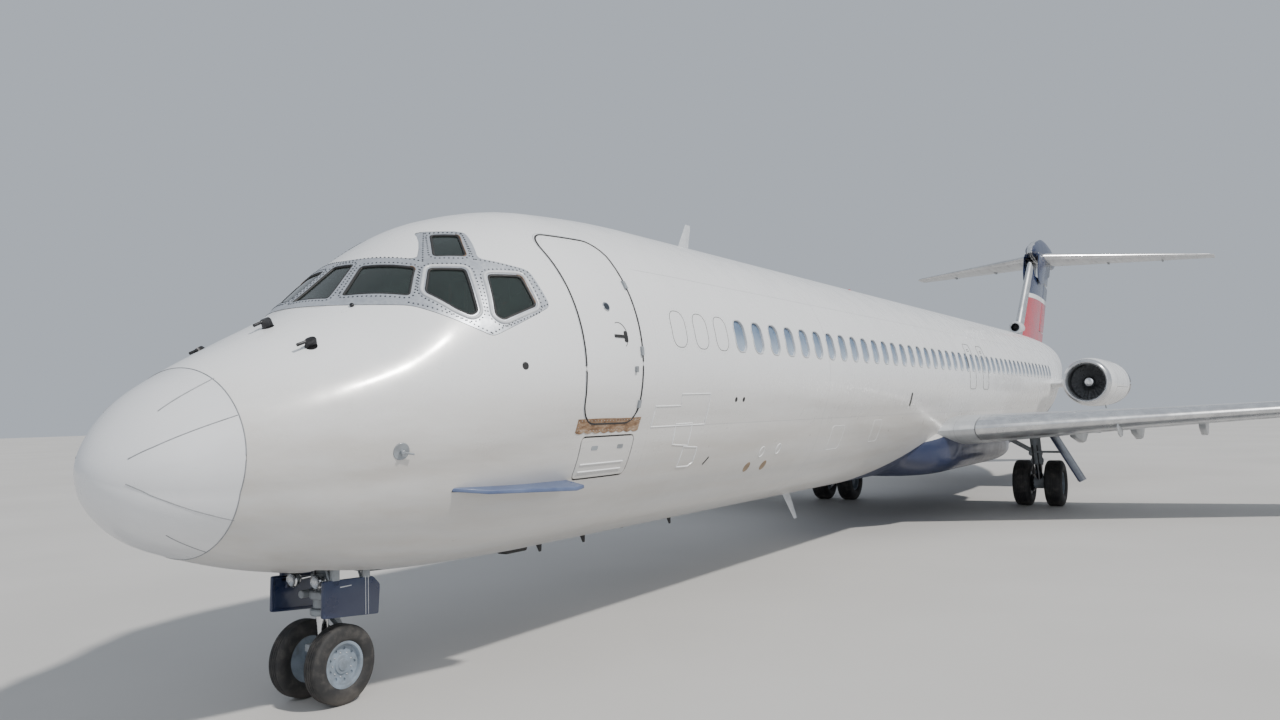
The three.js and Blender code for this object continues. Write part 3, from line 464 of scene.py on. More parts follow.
class Paint:
    """A node material in the making: each call adds one node and returns its socket."""

    def __init__(self, name):
        self.material = bpy.data.materials.new(name)
        self.material.use_nodes = True
        self.tree = self.material.node_tree
        self.tree.nodes.clear()
        self.where = self.node("ShaderNodeTexCoord").outputs["Object"]
        self.x, self.y, self.z = self.node("ShaderNodeSeparateXYZ", Vector=self.where).outputs

    def node(self, kind, _settings=None, **values):
        made = self.tree.nodes.new(kind)
        for key, value in (_settings or {}).items():
            setattr(made, key, value)
        for key, value in values.items():
            self.feed(made.inputs[key.replace("_", " ")], value)
        return made

    def feed(self, socket, value):
        if isinstance(value, bpy.types.NodeSocket):
            self.tree.links.new(value, socket)
        else:
            socket.default_value = value

    def mapped(self, scale):
        return self.node("ShaderNodeMapping", Vector=self.where, Scale=scale).outputs[0]

    def noise(self, scale, detail=4, roughness=0.5, vector=None):
        made = self.node("ShaderNodeTexNoise", Scale=scale, Detail=detail, Roughness=roughness)
        self.feed(made.inputs["Vector"], vector or self.where)
        return made.outputs["Fac"]

    def maths(self, operation, a, b=0.0, c=0.0):
        made = self.node("ShaderNodeMath", {"operation": operation})
        for socket, value in zip(made.inputs, (a, b, c)):
            self.feed(socket, value)
        return made.outputs[0]

    def between(self, value, low, high, first=0.0, last=1.0, smooth=True):
        made = self.node("ShaderNodeMapRange", {"interpolation_type": "SMOOTHSTEP" if smooth else "LINEAR"})
        names = ("Value", "From Min", "From Max", "To Min", "To Max")
        for key, number in zip(names, (value, low, high, first, last)):
            self.feed(made.inputs[key], number)
        return made.outputs[0]

    def mix(self, factor, a, b):
        made = self.node("ShaderNodeMix", {"data_type": "RGBA"})
        self.feed(made.inputs[0], factor)
        for socket, colour in ((made.inputs[6], a), (made.inputs[7], b)):
            self.feed(socket, (*colour, 1) if isinstance(colour, tuple) else colour)
        return made.outputs[2]

    def ramp(self, value, stops):
        made = self.node("ShaderNodeValToRGB", Fac=value)
        ramp = made.color_ramp
        while len(ramp.elements) < len(stops):
            ramp.elements.new(0.5)
        for element, (place, colour) in zip(ramp.elements, stops):
            element.position = place
            element.color = (*colour, 1) if isinstance(colour, tuple) else (colour, colour, colour, 1)
        return made.outputs[0]

    def line(self, axis, station, width):
        """1 on a thin line at a place along X (a station) or Z (a height), 0 off it."""
        along, place = (self.x, (MIDDLE - station) * HALF) if axis == "X" else (self.z, station * HALF)
        away = self.maths("ABSOLUTE", self.maths("SUBTRACT", along, place))
        return self.between(away, width * HALF * 0.5, width * HALF, 1.0, 0.0)

    def bumped(self, height, strength, distance=0.002, before=None):
        made = self.node("ShaderNodeBump", Height=height)
        made.inputs["Strength"].default_value = strength
        made.inputs["Distance"].default_value = distance
        if before:
            self.tree.links.new(before, made.inputs["Normal"])
        return made.outputs[0]

    def finish(self, colour, roughness, normal=None, metallic=0.0, coat=0.0, **more):
        shader = self.node("ShaderNodeBsdfPrincipled")
        self.feed(shader.inputs["Base Color"], (*colour, 1) if isinstance(colour, tuple) else colour)
        self.feed(shader.inputs["Roughness"], roughness)
        self.feed(shader.inputs["Metallic"], metallic)
        shader.inputs["Coat Weight"].default_value = coat
        shader.inputs["Coat Roughness"].default_value = COAT_ROUGHNESS
        for key, value in more.items():
            shader.inputs[key.replace("_", " ")].default_value = value
        if normal:
            self.tree.links.new(normal, shader.inputs["Normal"])
        output = self.node("ShaderNodeOutputMaterial")
        self.tree.links.new(shader.outputs[0], output.inputs["Surface"])
        return self.material


WHITE = (0.83, 0.84, 0.85)
GREYED = (0.56, 0.57, 0.58)
NAVY = (0.012, 0.022, 0.07)
RED = (0.42, 0.012, 0.03)

# The navy belly's upper edge: station, height
BELLY_EDGE = [(13.2, 0.9), (13.81, 1.12), (14.97, 1.43), (15.67, 1.64), (17.27, 1.84), (24.0, 1.9),
              (28.5, 2.1), (32.0, 2.75), (35.0, 3.5), (37.2, 4.2)]
SKIN_JOINTS = (9.9, 19.6, 28.2, 33.4)
SKIN_LAPS = (2.22, 3.86)


def belly_mask(paint):
    """1 below the belly's edge, 0 above it."""
    first, last = BELLY_EDGE[0][0], BELLY_EDGE[-1][0]
    tallest = 5.0
    ahead = (MIDDLE - first) * HALF
    behind = (MIDDLE - last) * HALF
    along = paint.between(paint.x, ahead, behind, smooth=False)
    stops = [((s - first) / (last - first), z / tallest) for s, z in BELLY_EDGE]
    edge = paint.ramp(along, stops)
    height = paint.maths("DIVIDE", paint.z, tallest * HALF)
    below = paint.maths("SUBTRACT", edge, height)
    inside = paint.between(below, -0.0004, 0.0004)
    started = paint.between(paint.x, ahead, ahead - 0.01)
    return paint.maths("MULTIPLY", inside, started)


def streaks(paint, scale=(0.6, 6.0, 9.0)):
    """Long faint runs of dirt along the airflow."""
    return paint.noise(1.4, 8, 0.62, paint.mapped(scale))


def body_white():
    """White gloss paint over riveted skin, dirtier low down, with a painted warm reflection of the ground and
    painted shade on its lower side, and the navy belly.
    """
    paint = Paint("body_white")
    cloud = paint.noise(1.1, 6, 0.6)
    dirt = paint.between(paint.z, 1.35, 0.62)
    grime = paint.maths("MULTIPLY", dirt, paint.between(streaks(paint), 0.35, 0.75, 0.3, 0.85))
    white = paint.mix(paint.between(cloud, 0.3, 0.7, 0.0, 0.35), WHITE, (0.76, 0.77, 0.785))
    # The lower side is mixed towards warm beige: a painted reflection of the ground and painted shade, broken
    # up by dirt streaks.
    warm_reflection_shade_and_dirt = paint.between(paint.z, 1.5, 0.95)
    warm_reflection_shade_and_dirt = paint.maths("MULTIPLY", warm_reflection_shade_and_dirt, paint.between(streaks(paint, (0.5, 4, 5)), 0.25, 0.75, 0.55, 1.0))
    white = paint.mix(warm_reflection_shade_and_dirt, white, (0.5, 0.465, 0.42))
    colour = paint.mix(grime, white, GREYED)
    spots = paint.between(paint.noise(14, 3, 0.5), 0.72, 0.8, 0.0, 0.35)
    colour = paint.mix(paint.maths("MULTIPLY", spots, dirt), colour, (0.33, 0.3, 0.27))
    lines = None
    for station in SKIN_JOINTS:
        joint = paint.line("X", station, 0.009)
        lines = joint if lines is None else paint.maths("MAXIMUM", lines, joint)
    for height in SKIN_LAPS:
        ends = paint.between(paint.x, 7.7, 7.6)
        lap = paint.maths("MULTIPLY", paint.line("Z", height, 0.006), ends)
        lines = paint.maths("MAXIMUM", lines, lap)
    colour = paint.mix(paint.maths("MULTIPLY", lines, 0.45), colour, (0.35, 0.36, 0.37))
    belly = belly_mask(paint)
    navy = paint.mix(paint.between(streaks(paint), 0.4, 0.8, 0.0, 0.4), NAVY, (0.05, 0.06, 0.1))
    colour = paint.mix(belly, colour, navy)
    frames = paint.maths("PINGPONG", paint.x, WINDOWS["pitch"] * HALF / 2)
    quilt = paint.between(frames, 0.0, 0.05)
    wave = paint.noise(0.9, 3, 0.5, paint.mapped((1.6, 1, 1)))
    normal = paint.bumped(paint.maths("SUBTRACT", quilt, paint.maths("MULTIPLY", lines, 1.5)), 0.05, 0.004)
    normal = paint.bumped(wave, 0.05, 0.03, normal)
    gloss = paint.between(paint.noise(6, 5, 0.65), 0.3, 0.7, 0.22, 0.34)
    gloss = paint.maths("ADD", gloss, paint.maths("MULTIPLY", grime, 0.25))
    return paint.finish(colour, gloss, normal, coat=0.35)


def nose_white():
    """The radome's smooth paint, with fine chips and a faint grey at its tip."""
    paint = Paint("nose_white")
    cloud = paint.noise(2.0, 6, 0.6)
    colour = paint.mix(paint.between(cloud, 0.3, 0.7, 0.0, 0.5), (0.74, 0.75, 0.77), (0.66, 0.67, 0.69))
    chips = paint.between(paint.noise(90, 2, 0.5), 0.74, 0.8, 0.0, 0.5)
    colour = paint.mix(chips, colour, (0.45, 0.45, 0.46))
    low = paint.between(paint.z, 1.1, 0.7, 0.0, 0.35)
    colour = paint.mix(paint.maths("MULTIPLY", low, paint.between(streaks(paint), 0.3, 0.7)), colour, GREYED)
    normal = paint.bumped(paint.noise(1.5, 3), 0.04, 0.03)
    return paint.finish(colour, paint.between(cloud, 0.3, 0.7, 0.24, 0.36), normal, coat=0.3)


def worn_metal(name, dark, light, rough, scale, metallic=0.9, bump=0.05):
    """Metal whose tone and polish change over its surface."""
    paint = Paint(name)
    grain = paint.noise(scale, 6, 0.6)
    patch = paint.noise(scale * 0.12, 5, 0.6)
    colour = paint.mix(paint.between(grain, 0.35, 0.7), dark, light)
    colour = paint.mix(paint.between(patch, 0.45, 0.7, 0.0, 0.5), colour, tuple(0.7 * c for c in dark))
    polish = paint.between(patch, 0.3, 0.7, rough * 0.75, rough * 1.3)
    return paint.finish(colour, polish, paint.bumped(grain, bump, 0.001), metallic=metallic)


def plain_paint(name, colour, worn, rough=0.35, scale=8.0, coat=0.2, chips=0.35):
    """Painted metal with a change of tone and small chips."""
    paint = Paint(name)
    cloud = paint.noise(scale, 6, 0.6)
    tone = paint.mix(paint.between(cloud, 0.3, 0.75), colour, worn)
    chip = paint.between(paint.noise(scale * 14, 3, 0.5), 0.72, 0.78, 0.0, chips)
    tone = paint.mix(chip, tone, tuple(0.5 * c + 0.1 for c in worn))
    normal = paint.bumped(cloud, 0.06, 0.002)
    return paint.finish(tone, paint.between(cloud, 0.3, 0.7, rough, rough * 1.5), normal, coat=coat)


def wing_skin():
    """Silver-painted wing skin, with ribs and panel joints along the span and stains along the flow."""
    paint = Paint("wing_skin")
    cloud = paint.noise(1.2, 6, 0.6)
    run = paint.noise(1.5, 7, 0.62, paint.mapped((0.7, 9, 1)))
    colour = paint.mix(paint.between(cloud, 0.3, 0.7), (0.47, 0.49, 0.51), (0.57, 0.585, 0.6))
    colour = paint.mix(paint.between(run, 0.5, 0.8, 0.0, 0.6), colour, (0.28, 0.28, 0.28))
    ribs = paint.maths("PINGPONG", paint.y, 0.42)
    seam = paint.between(ribs, 0.001, 0.003, 1.0, 0.0)
    swept = paint.maths("MULTIPLY_ADD", paint.maths("ABSOLUTE", paint.y), 0.42, paint.x)
    spar = paint.maths("PINGPONG", swept, 0.38)
    seam = paint.maths("MAXIMUM", seam, paint.between(spar, 0.001, 0.003, 1.0, 0.0))
    colour = paint.mix(paint.maths("MULTIPLY", seam, 0.5), colour, (0.16, 0.16, 0.17))
    normal = paint.bumped(paint.maths("SUBTRACT", cloud, seam), 0.08, 0.003)
    return paint.finish(colour, paint.between(run, 0.3, 0.7, 0.3, 0.5), normal, metallic=0.35, coat=0.1)


def tail_paint():
    """A plain two-tone tail: navy above, red below, parted by a level white band."""
    paint = Paint("tail_paint")
    height = paint.z
    cloud = paint.noise(3, 5, 0.6)
    navy = paint.mix(paint.between(cloud, 0.3, 0.7), NAVY, (0.025, 0.04, 0.1))
    red = paint.mix(paint.between(cloud, 0.3, 0.7), RED, (0.5, 0.03, 0.05))
    colour = paint.mix(paint.between(height, 3.02, 3.024), red, (0.8, 0.81, 0.82))
    colour = paint.mix(paint.between(height, 3.1, 3.104), colour, navy)
    ribs = paint.maths("PINGPONG", height, 0.21)
    seam = paint.between(ribs, 0.001, 0.003, 1.0, 0.0)
    colour = paint.mix(paint.maths("MULTIPLY", seam, 0.35), colour, (0.05, 0.05, 0.06))
    gloss = paint.between(cloud, 0.3, 0.7, 0.2, 0.32)
    return paint.finish(colour, gloss, paint.bumped(seam, -0.1, 0.002), coat=0.4)


def tyre_rubber():
    """Black rubber with dust in it and a fine grain in its surface."""
    paint = Paint("tyre_rubber")
    dust = paint.noise(16, 6, 0.65)
    colour = paint.mix(paint.between(dust, 0.4, 0.75), (0.018, 0.018, 0.019), (0.075, 0.07, 0.065))
    low = paint.between(paint.z, 0.08, 0.0, 0.0, 0.45)
    colour = paint.mix(low, colour, (0.12, 0.105, 0.09))
    normal = paint.bumped(paint.noise(120, 3, 0.6), 0.15, 0.001)
    return paint.finish(colour, paint.between(dust, 0.3, 0.7, 0.6, 0.85), normal)


def window_glass(name, tint, rough=0.06):
    """Dark glass that still lets the inside show."""
    paint = Paint(name)
    smear = paint.noise(5, 5, 0.6)
    tone = paint.mix(paint.between(smear, 0.3, 0.7), tint, tuple(c * 0.7 for c in tint))
    gloss = paint.between(smear, 0.3, 0.8, rough, rough * 2.2)
    return paint.finish(tone, gloss, IOR=1.5, Transmission_Weight=0.9)


def pane_with_painted_sky():
    """Blue-grey cabin glass whose colour is a painted reflection of the sky, lighter towards its foot."""
    paint = Paint("pane_with_painted_sky")
    foot = (WINDOWS["height"] - WINDOWS["tall"] / 2) * HALF
    # A paler painted reflection of the sky on each pane's lower part.
    low = paint.between(paint.z, foot + 0.15, foot + 0.02, 0.0, 0.6)
    smear = paint.noise(9, 4, 0.6)
    # The two blues are a painted reflection of the sky.
    tone = paint.mix(paint.between(smear, 0.3, 0.7), (0.1, 0.16, 0.26), (0.16, 0.24, 0.36))
    tone = paint.mix(low, tone, (0.42, 0.5, 0.6))
    return paint.finish(tone, paint.between(smear, 0.3, 0.8, 0.06, 0.16), coat=0.6)


def scuffed_plate():
    """Bare brown-stained metal under the door."""
    paint = Paint("scuffed_plate")
    rub = paint.noise(20, 7, 0.7, paint.mapped((1, 1, 3)))
    colour = paint.ramp(rub, [(0.3, (0.09, 0.05, 0.03)), (0.5, (0.3, 0.18, 0.1)), (0.68, (0.5, 0.38, 0.28))])
    return paint.finish(colour, 0.5, paint.bumped(rub, 0.2, 0.001), metallic=0.4)


# Each finish by its key
STUFF = {
    "white": body_white(),
    "radome": nose_white(),
    "band": worn_metal("window_band", (0.42, 0.45, 0.5), (0.52, 0.55, 0.59), 0.36, 60,
                       metallic=0.45, bump=0.02),
    "bright_line": plain_paint("bright_line", (0.9, 0.91, 0.92), (0.84, 0.85, 0.86), 0.25, 20),
    "rim": plain_paint("window_rim", (0.62, 0.64, 0.66), (0.5, 0.52, 0.55), 0.3, 20),
    # Black for seals, seams and small dark parts, and for sheets of painted shade behind the cabin windows,
    # in outlets and in a door handle's pocket.
    "seal": plain_paint("black_parts_and_painted_shade", (0.012, 0.012, 0.013), (0.03, 0.03, 0.03), 0.5, 30, 0.0),
    "sealant": plain_paint("rust_sealant", (0.2, 0.11, 0.06), (0.1, 0.07, 0.05), 0.55, 40, 0.0),
    "rivet": worn_metal("rivet_metal", (0.025, 0.028, 0.034), (0.07, 0.075, 0.085), 0.45, 50, metallic=0.5),
    "bright": worn_metal("bright_metal", (0.6, 0.61, 0.63), (0.75, 0.76, 0.77), 0.16, 24, metallic=1.0),
    "edge": worn_metal("polished_edge", (0.6, 0.61, 0.63), (0.76, 0.77, 0.78), 0.26, 10,
                       metallic=0.85, bump=0.03),
    "wing": wing_skin(),
    "dark": worn_metal("dark_metal", (0.03, 0.03, 0.032), (0.09, 0.09, 0.095), 0.42, 22),
    "hot": worn_metal("heated_metal", (0.16, 0.13, 0.11), (0.36, 0.33, 0.3), 0.36, 9),
    "blade": worn_metal("blade_metal", (0.34, 0.35, 0.37), (0.52, 0.54, 0.56), 0.3, 30, metallic=0.6),
    "gear": plain_paint("gear_paint", (0.3, 0.33, 0.36), (0.2, 0.21, 0.22), 0.4, 12, 0.1, 0.6),
    "wheel": plain_paint("wheel_paint", (0.22, 0.27, 0.33), (0.13, 0.15, 0.17), 0.42, 16, 0.1, 0.5),
    "navy": plain_paint("navy_paint", NAVY, (0.035, 0.05, 0.1), 0.26, 6, 0.35, 0.2),
    # The strake's dark blue is its paint with a painted sky reflection and painted shade in it.
    "strake": plain_paint("strake_paint_with_painted_sky_and_shade", (0.07, 0.1, 0.2), (0.12, 0.16, 0.27), 0.36, 7),
    "tail": tail_paint(),
    "rubber": tyre_rubber(),
    "glass": window_glass("flight_glass", (0.16, 0.22, 0.2)),
    "pane": pane_with_painted_sky(),
    "dark_pane": window_glass("dark_glass", (0.1, 0.12, 0.15), 0.1),
    "lamp": window_glass("lamp_glass", (0.9, 0.92, 0.95), 0.04),
    "shade": plain_paint("window_shade", (0.42, 0.43, 0.43), (0.3, 0.3, 0.3), 0.6, 12, 0.0, 0.0),
    "inside": plain_paint("cockpit_lining", (0.1, 0.1, 0.095), (0.05, 0.05, 0.05), 0.7, 12, 0.0, 0.0),
    "seat": plain_paint("seat_cloth", (0.09, 0.1, 0.12), (0.05, 0.055, 0.07), 0.85, 30, 0.0, 0.0),
    "amber": plain_paint("lit_lining", (0.5, 0.22, 0.07), (0.3, 0.12, 0.05), 0.6, 8, 0.0, 0.0),
    "red": plain_paint("red_paint", (0.5, 0.02, 0.02), (0.4, 0.02, 0.02), 0.4, 20, 0.1, 0.0),
    "plate": scuffed_plate(),
    "brown": plain_paint("brown_patch", (0.22, 0.15, 0.09), (0.34, 0.26, 0.18), 0.5, 20, 0.0, 0.3),
    "hose": plain_paint("hose_rubber", (0.02, 0.02, 0.02), (0.05, 0.05, 0.05), 0.6, 40, 0.0, 0.0),
    "grey_rivet": plain_paint("skin_rivet", (0.55, 0.56, 0.58), (0.4, 0.41, 0.43), 0.4, 60, 0.1, 0.0),
    "strip": plain_paint("lightning_strip", (0.3, 0.31, 0.33), (0.2, 0.21, 0.22), 0.4, 30, 0.0),
    "duct": worn_metal("inlet_duct", (0.16, 0.165, 0.175), (0.26, 0.27, 0.28), 0.4, 18, metallic=0.6),
    "tread": plain_paint("stair_tread", (0.04, 0.04, 0.042), (0.09, 0.09, 0.09), 0.8, 60, 0.0, 0.3),
}


# Repeated pieces
def scatter_tree():
    """Geometry Nodes: a unit on every point, turned by the point's own turn."""
    tree = bpy.data.node_groups.new("unit_on_points", "GeometryNodeTree")
    for label, kind in (("Points", "Geometry"), ("Unit", "Object"), ("Finish", "Material")):
        tree.interface.new_socket(label, in_out="INPUT", socket_type="NodeSocket" + kind)
    tree.interface.new_socket("Pieces", in_out="OUTPUT", socket_type="NodeSocketGeometry")
    start = tree.nodes.new("NodeGroupInput")
    end = tree.nodes.new("NodeGroupOutput")
    unit = tree.nodes.new("GeometryNodeObjectInfo")
    turn = tree.nodes.new("GeometryNodeInputNamedAttribute")
    turn.data_type = "QUATERNION"
    turn.inputs["Name"].default_value = "turn"
    spread = tree.nodes.new("GeometryNodeInstanceOnPoints")
    real = tree.nodes.new("GeometryNodeRealizeInstances")
    finish = tree.nodes.new("GeometryNodeSetMaterial")
    for source, output, target, entry in (
            (start, "Points", spread, "Points"), (start, "Unit", unit, "Object"),
            (unit, "Geometry", spread, "Instance"), (turn, "Attribute", spread, "Rotation"),
            (spread, "Instances", real, "Geometry"), (real, "Geometry", finish, "Geometry"),
            (start, "Finish", finish, "Material"), (finish, "Geometry", end, "Pieces")):
        tree.links.new(source.outputs[output], target.inputs[entry])
    return tree


SCATTER = scatter_tree()


def turned_to(normal, up=Vector((0, 0, 1))):
    """The turn that puts a unit's Z along a normal and its Y as near up as it can."""
    z = normal.normalized()
    x = up.cross(z)
    x = x.normalized() if x.length > 1e-4 else Vector((1, 0, 0))
    return Matrix((x, z.cross(x), z)).transposed().to_quaternion()


def scattered(name, unit, spots, key):
    """A unit repeated at spots, each a point and a turn."""
    mesh = bpy.data.meshes.new(name)
    mesh.from_pydata([tuple(point) for point, _ in spots], [], [])
    turns = mesh.attributes.new("turn", "QUATERNION", "POINT")
    turns.data.foreach_set("value", [number for _, turn in spots for number in turn])
    thing = new_object(name, mesh)
    step = thing.modifiers.new("units", "NODES")
    step.node_group = SCATTER
    sockets = {item.name: item.identifier for item in SCATTER.interface.items_tree if item.in_out == "INPUT"}
    step[sockets["Unit"]] = unit
    step[sockets["Finish"]] = STUFF[key]
    baked(thing)
    removed(unit)
    return finished(coloured(thing, key))


def dome(radius, height, sides=6):
    """A low rivet head, its sizes in built metres."""
    bm = bmesh.new()
    base = [bm.verts.new((radius * cos(a), radius * sin(a), -height)) for a in turns(sides)]
    crown = [bm.verts.new((0.65 * v.co.x, 0.65 * v.co.y, height)) for v in base]
    for k in range(sides):
        m = (k + 1) % sides
        bm.faces.new((base[k], base[m], crown[m], crown[k]))
    bm.faces.new(crown)
    bm.faces.new(list(reversed(base)))
    return from_bmesh("rivet", bm, 60)


# Fuselage skin, and pieces that follow it
def root_steps(first, last, step):
    a, b = sqrt(first - NOSE_TIP), sqrt(last - NOSE_TIP)
    count = max(1, ceil((b - a) / step))
    return [NOSE_TIP + (a + (b - a) * i / count) ** 2 for i in range(count + 1)]


# The stretch where the section is constant, and the steps of rings ahead of it, in it and behind it
CONSTANT = (6.2, 24.5)
RING_STEPS = {"nose": 0.025, "middle": 0.04, "tail": 0.3}


def stations_between(first, last):
    """Close together on the nose and tail, far apart where the section is constant."""
    stations = []
    if first < CONSTANT[0]:
        stations += root_steps(first, min(last, CONSTANT[0]), RING_STEPS["nose"])
    if last > CONSTANT[0] and first < CONSTANT[1]:
        start, end = max(first, CONSTANT[0]), min(last, CONSTANT[1])
        stations += [start, start + RING_STEPS["middle"], end - RING_STEPS["middle"], end]
    if last > CONSTANT[1]:
        start = max(first, CONSTANT[1])
        count = ceil((last - start) / RING_STEPS["tail"])
        stations += [start + (last - start) * i / count for i in range(count + 1)]
    return sorted(set(max(NOSE_TIP, round(s, 6)) for s in stations))


def skin_loft(name, first, last, extra=0.0):
    stations = stations_between(first, last)
    return loft(name, [fuselage_ring(s, extra if s > NOSE_TIP else 0.0) for s in stations])


skin_model = skin_loft("skin_model", NOSE_TIP, BARRELS["end"])
SKIN = BVHTree.FromPolygons([v.co.copy() for v in skin_model.data.vertices],
                            [tuple(p.vertices) for p in skin_model.data.polygons])
removed(skin_model)


AXIS_HEIGHT = 2.9


def on_skin(point, lift=0.0):
    """The nearest point of the skin and the way out of it there."""
    spot, normal, _, _ = SKIN.find_nearest(point)
    axis = Vector((spot.x, 0, AXIS_HEIGHT * HALF))
    if normal.dot(spot - axis) < 0:
        normal = -normal
    return spot + normal * lift * HALF, normal


CAST_FROM = 4.0


class Flat:
    """A flat frame over the skin: a middle, two directions and the way out."""

    def __init__(self, middle, x, y, normal):
        self.middle, self.x, self.y, self.normal = middle, x, y, normal

    def spot(self, u, v, w=0.0):
        return self.middle + (self.x * u + self.y * v + self.normal * w) * HALF

    def flattened(self, points):
        return [((p - self.middle).dot(self.x) / HALF, (p - self.middle).dot(self.y) / HALF) for p in points]

    def cast(self, u, v, lift=0.0):
        """The skin under a spot of the frame, lifted off it."""
        start = self.spot(u, v, CAST_FROM)
        hit, normal, _, _ = SKIN.ray_cast(start, -self.normal)
        if hit is None:
            return self.spot(u, v, lift), self.normal
        if normal.dot(self.normal) < 0:
            normal = -normal
        return hit + self.normal * (lift * HALF / max(0.4, normal.dot(self.normal))), normal


def flat_over(corners):
    points = [at(*corner) for corner in corners]
    middle = sum(points, Vector()) / len(points)
    normal = Vector()
    for a, b in zip(points, points[1:] + points[:1]):
        normal += (a - middle).cross(b - middle)
    normal.normalize()
    if normal.dot(middle - Vector((middle.x, 0, 2.6 * HALF))) + 0.3 * normal.x < 0:
        normal = -normal
    x = Vector((0, 0, 1)).cross(normal).normalized()
    flat = Flat(middle, x, normal.cross(x), normal)
    return flat, flat.flattened(points)


def side_flat(side):
    """A frame that faces out from one side, where u is a station and v a height."""
    return Flat(at(0, 0, 0), Vector((-1, 0, 0)), Vector((0, 0, 1)), Vector((0, side, 0)))


PORT, STARBOARD = side_flat(1), side_flat(-1)
# A frame that faces down, where u is a station and v is y
UNDER = Flat(at(0, 0, 2.0), Vector((-1, 0, 0)), Vector((0, 1, 0)), Vector((0, 0, -1)))


def flat_prism(name, flat, outline, low, high):
    return prism(name, outline, low, high, flat.spot)


def skin_plate(name, flat, outline, lift, thick, cell=0.12):
    """A plate that follows the skin under an outline."""
    bm = bmesh.new()
    bm.faces.new([bm.verts.new((u, v, 0)) for u, v in outline])
    for axis in (0, 1):
        low = min(p[axis] for p in outline)
        high = max(p[axis] for p in outline)
        count = max(2, ceil((high - low) / cell))
        way = Vector((1, 0, 0)) if axis == 0 else Vector((0, 1, 0))
        for i in range(1, count):
            place = way * (low + (high - low) * i / count)
            parts = bm.verts[:] + bm.edges[:] + bm.faces[:]
            bmesh.ops.bisect_plane(bm, geom=parts, plane_co=place, plane_no=way)
    bm.verts.index_update()
    inner = {}
    for v in list(bm.verts):
        spot, _ = flat.cast(v.co.x, v.co.y, lift)
        v.co = spot
        inner[v] = bm.verts.new(spot - flat.normal * thick * HALF)
    edges = [e for e in bm.edges if len(e.link_faces) == 1]
    for face in list(bm.faces):
        bm.faces.new([inner[v] for v in reversed(face.verts)])
    for edge in edges:
        a, b = edge.verts
        bm.faces.new((a, b, inner[b], inner[a]))
    bmesh.ops.recalc_face_normals(bm, faces=bm.faces)
    return from_bmesh(name, bm)


def finely(outline, step=0.07):
    """An outline with points along its straight sides too."""
    points = []
    for i, start in enumerate(outline):
        a, b = Vector(start), Vector(outline[(i + 1) % len(outline)])
        count = max(1, ceil((b - a).length / step))
        points += [tuple(a + (b - a) * (k / count)) for k in range(count)]
    return points


def outline_tube(name, flat, outline, radius, lift=0.0, sides=8):
    """A thin round bead on the skin round an outline."""
    points = [flat.cast(u, v, lift)[0] for u, v in finely(outline)]
    return tube(name, points, radius * HALF, sides, closed=True)


def spaced(points, gap):
    """Points at even gaps along a line of points."""
    spots = []
    left = 0.0
    for a, b in zip(points, points[1:]):
        length = (b - a).length
        place = left
        while place < length:
            spots.append(a + (b - a) * (place / length))
            place += gap * HALF
        left = place - length
    return spots


def spot_on_skin(point, lift=0.0):
    """A rivet's place and turn on the skin near a point."""
    spot, normal = on_skin(point, lift)
    return spot, turned_to(normal)


def rivet_spots(flat, outline, gap, lift=0.0):
    """Spots for rivets on the skin round a closed outline."""
    line = [flat.cast(u, v, lift) for u, v in outline]
    points = [p for p, _ in line] + [line[0][0]]
    return [spot_on_skin(point, lift) for point in spaced(points, gap)]


def skin_path(first, last, steps=14, lift=0.0):
    a, b = at(*first), at(*last)
    return [on_skin(a + (b - a) * (i / steps), lift)[0] for i in range(steps + 1)]


def placed(thing, body, slot, *nodes):
    """The finished piece rides on its body and stands for its nodes. Its slot is not used."""
    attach(thing, body)
    if nodes:
        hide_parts(*nodes)
    return thing


# Rivet heads: radius and half height, in built metres
HEADS = {
    "flush": (0.002, 0.0005), "small": (0.0022, 0.0006), "pod": (0.0024, 0.0007),
    "screw": (0.0026, 0.001), "exit": (0.0028, 0.0008), "band": (0.0052, 0.0014),
}


def rivet_rows(name, spots, head="small", key="grey_rivet", body="airframe"):
    placed(scattered(name, dome(*HEADS[head]), spots, key), body, "window_frame")


def dress(name, things, key, body, slot, *nodes):
    """Several objects made one piece in one finish, and placed."""
    return placed(coloured(joined(name, things), key), body, slot, *nodes)


# Nose, with the window band's recess, the cockpit, the doors' recesses and the nose gear well
NOSE_WELL = {"front": 1.95, "back": 2.68, "half": 0.34, "top": 1.5}
NOSE_RANGE = (1.3, 4.7)
EXTRA_REACH = 3.0


def band_outline():
    return rounded(GLAZING, 0.05, 4)


def make_band():
    """The window frames as one raised band over the nose, before the panes' openings are cut."""
    band = skin_loft("cockpit_window_band", *NOSE_RANGE, extra=0.004)
    cut(band, side_prism("way", band_outline(), -EXTRA_REACH, EXTRA_REACH), operation="INTERSECT")
    cut(band, skin_loft("under", *NOSE_RANGE, extra=-GLAZING_DEPTH))
    return band


def all_panes():
    """Each pane's name with its flat frame and rounded outline."""
    panes = []
    for name, corners in PANES.items():
        for side, s in SIDES:
            flat, outline = flat_over([(station, s * y, z) for station, y, z in corners])
            panes.append((f"{name}_{side}", flat, rounded(outline, 0.05, 5)))
    flat, outline = flat_over(CENTRE_PANE)
    panes.append(("centre", flat, rounded(outline, 0.04, 5)))
    return panes


PANE_LIST = all_panes()


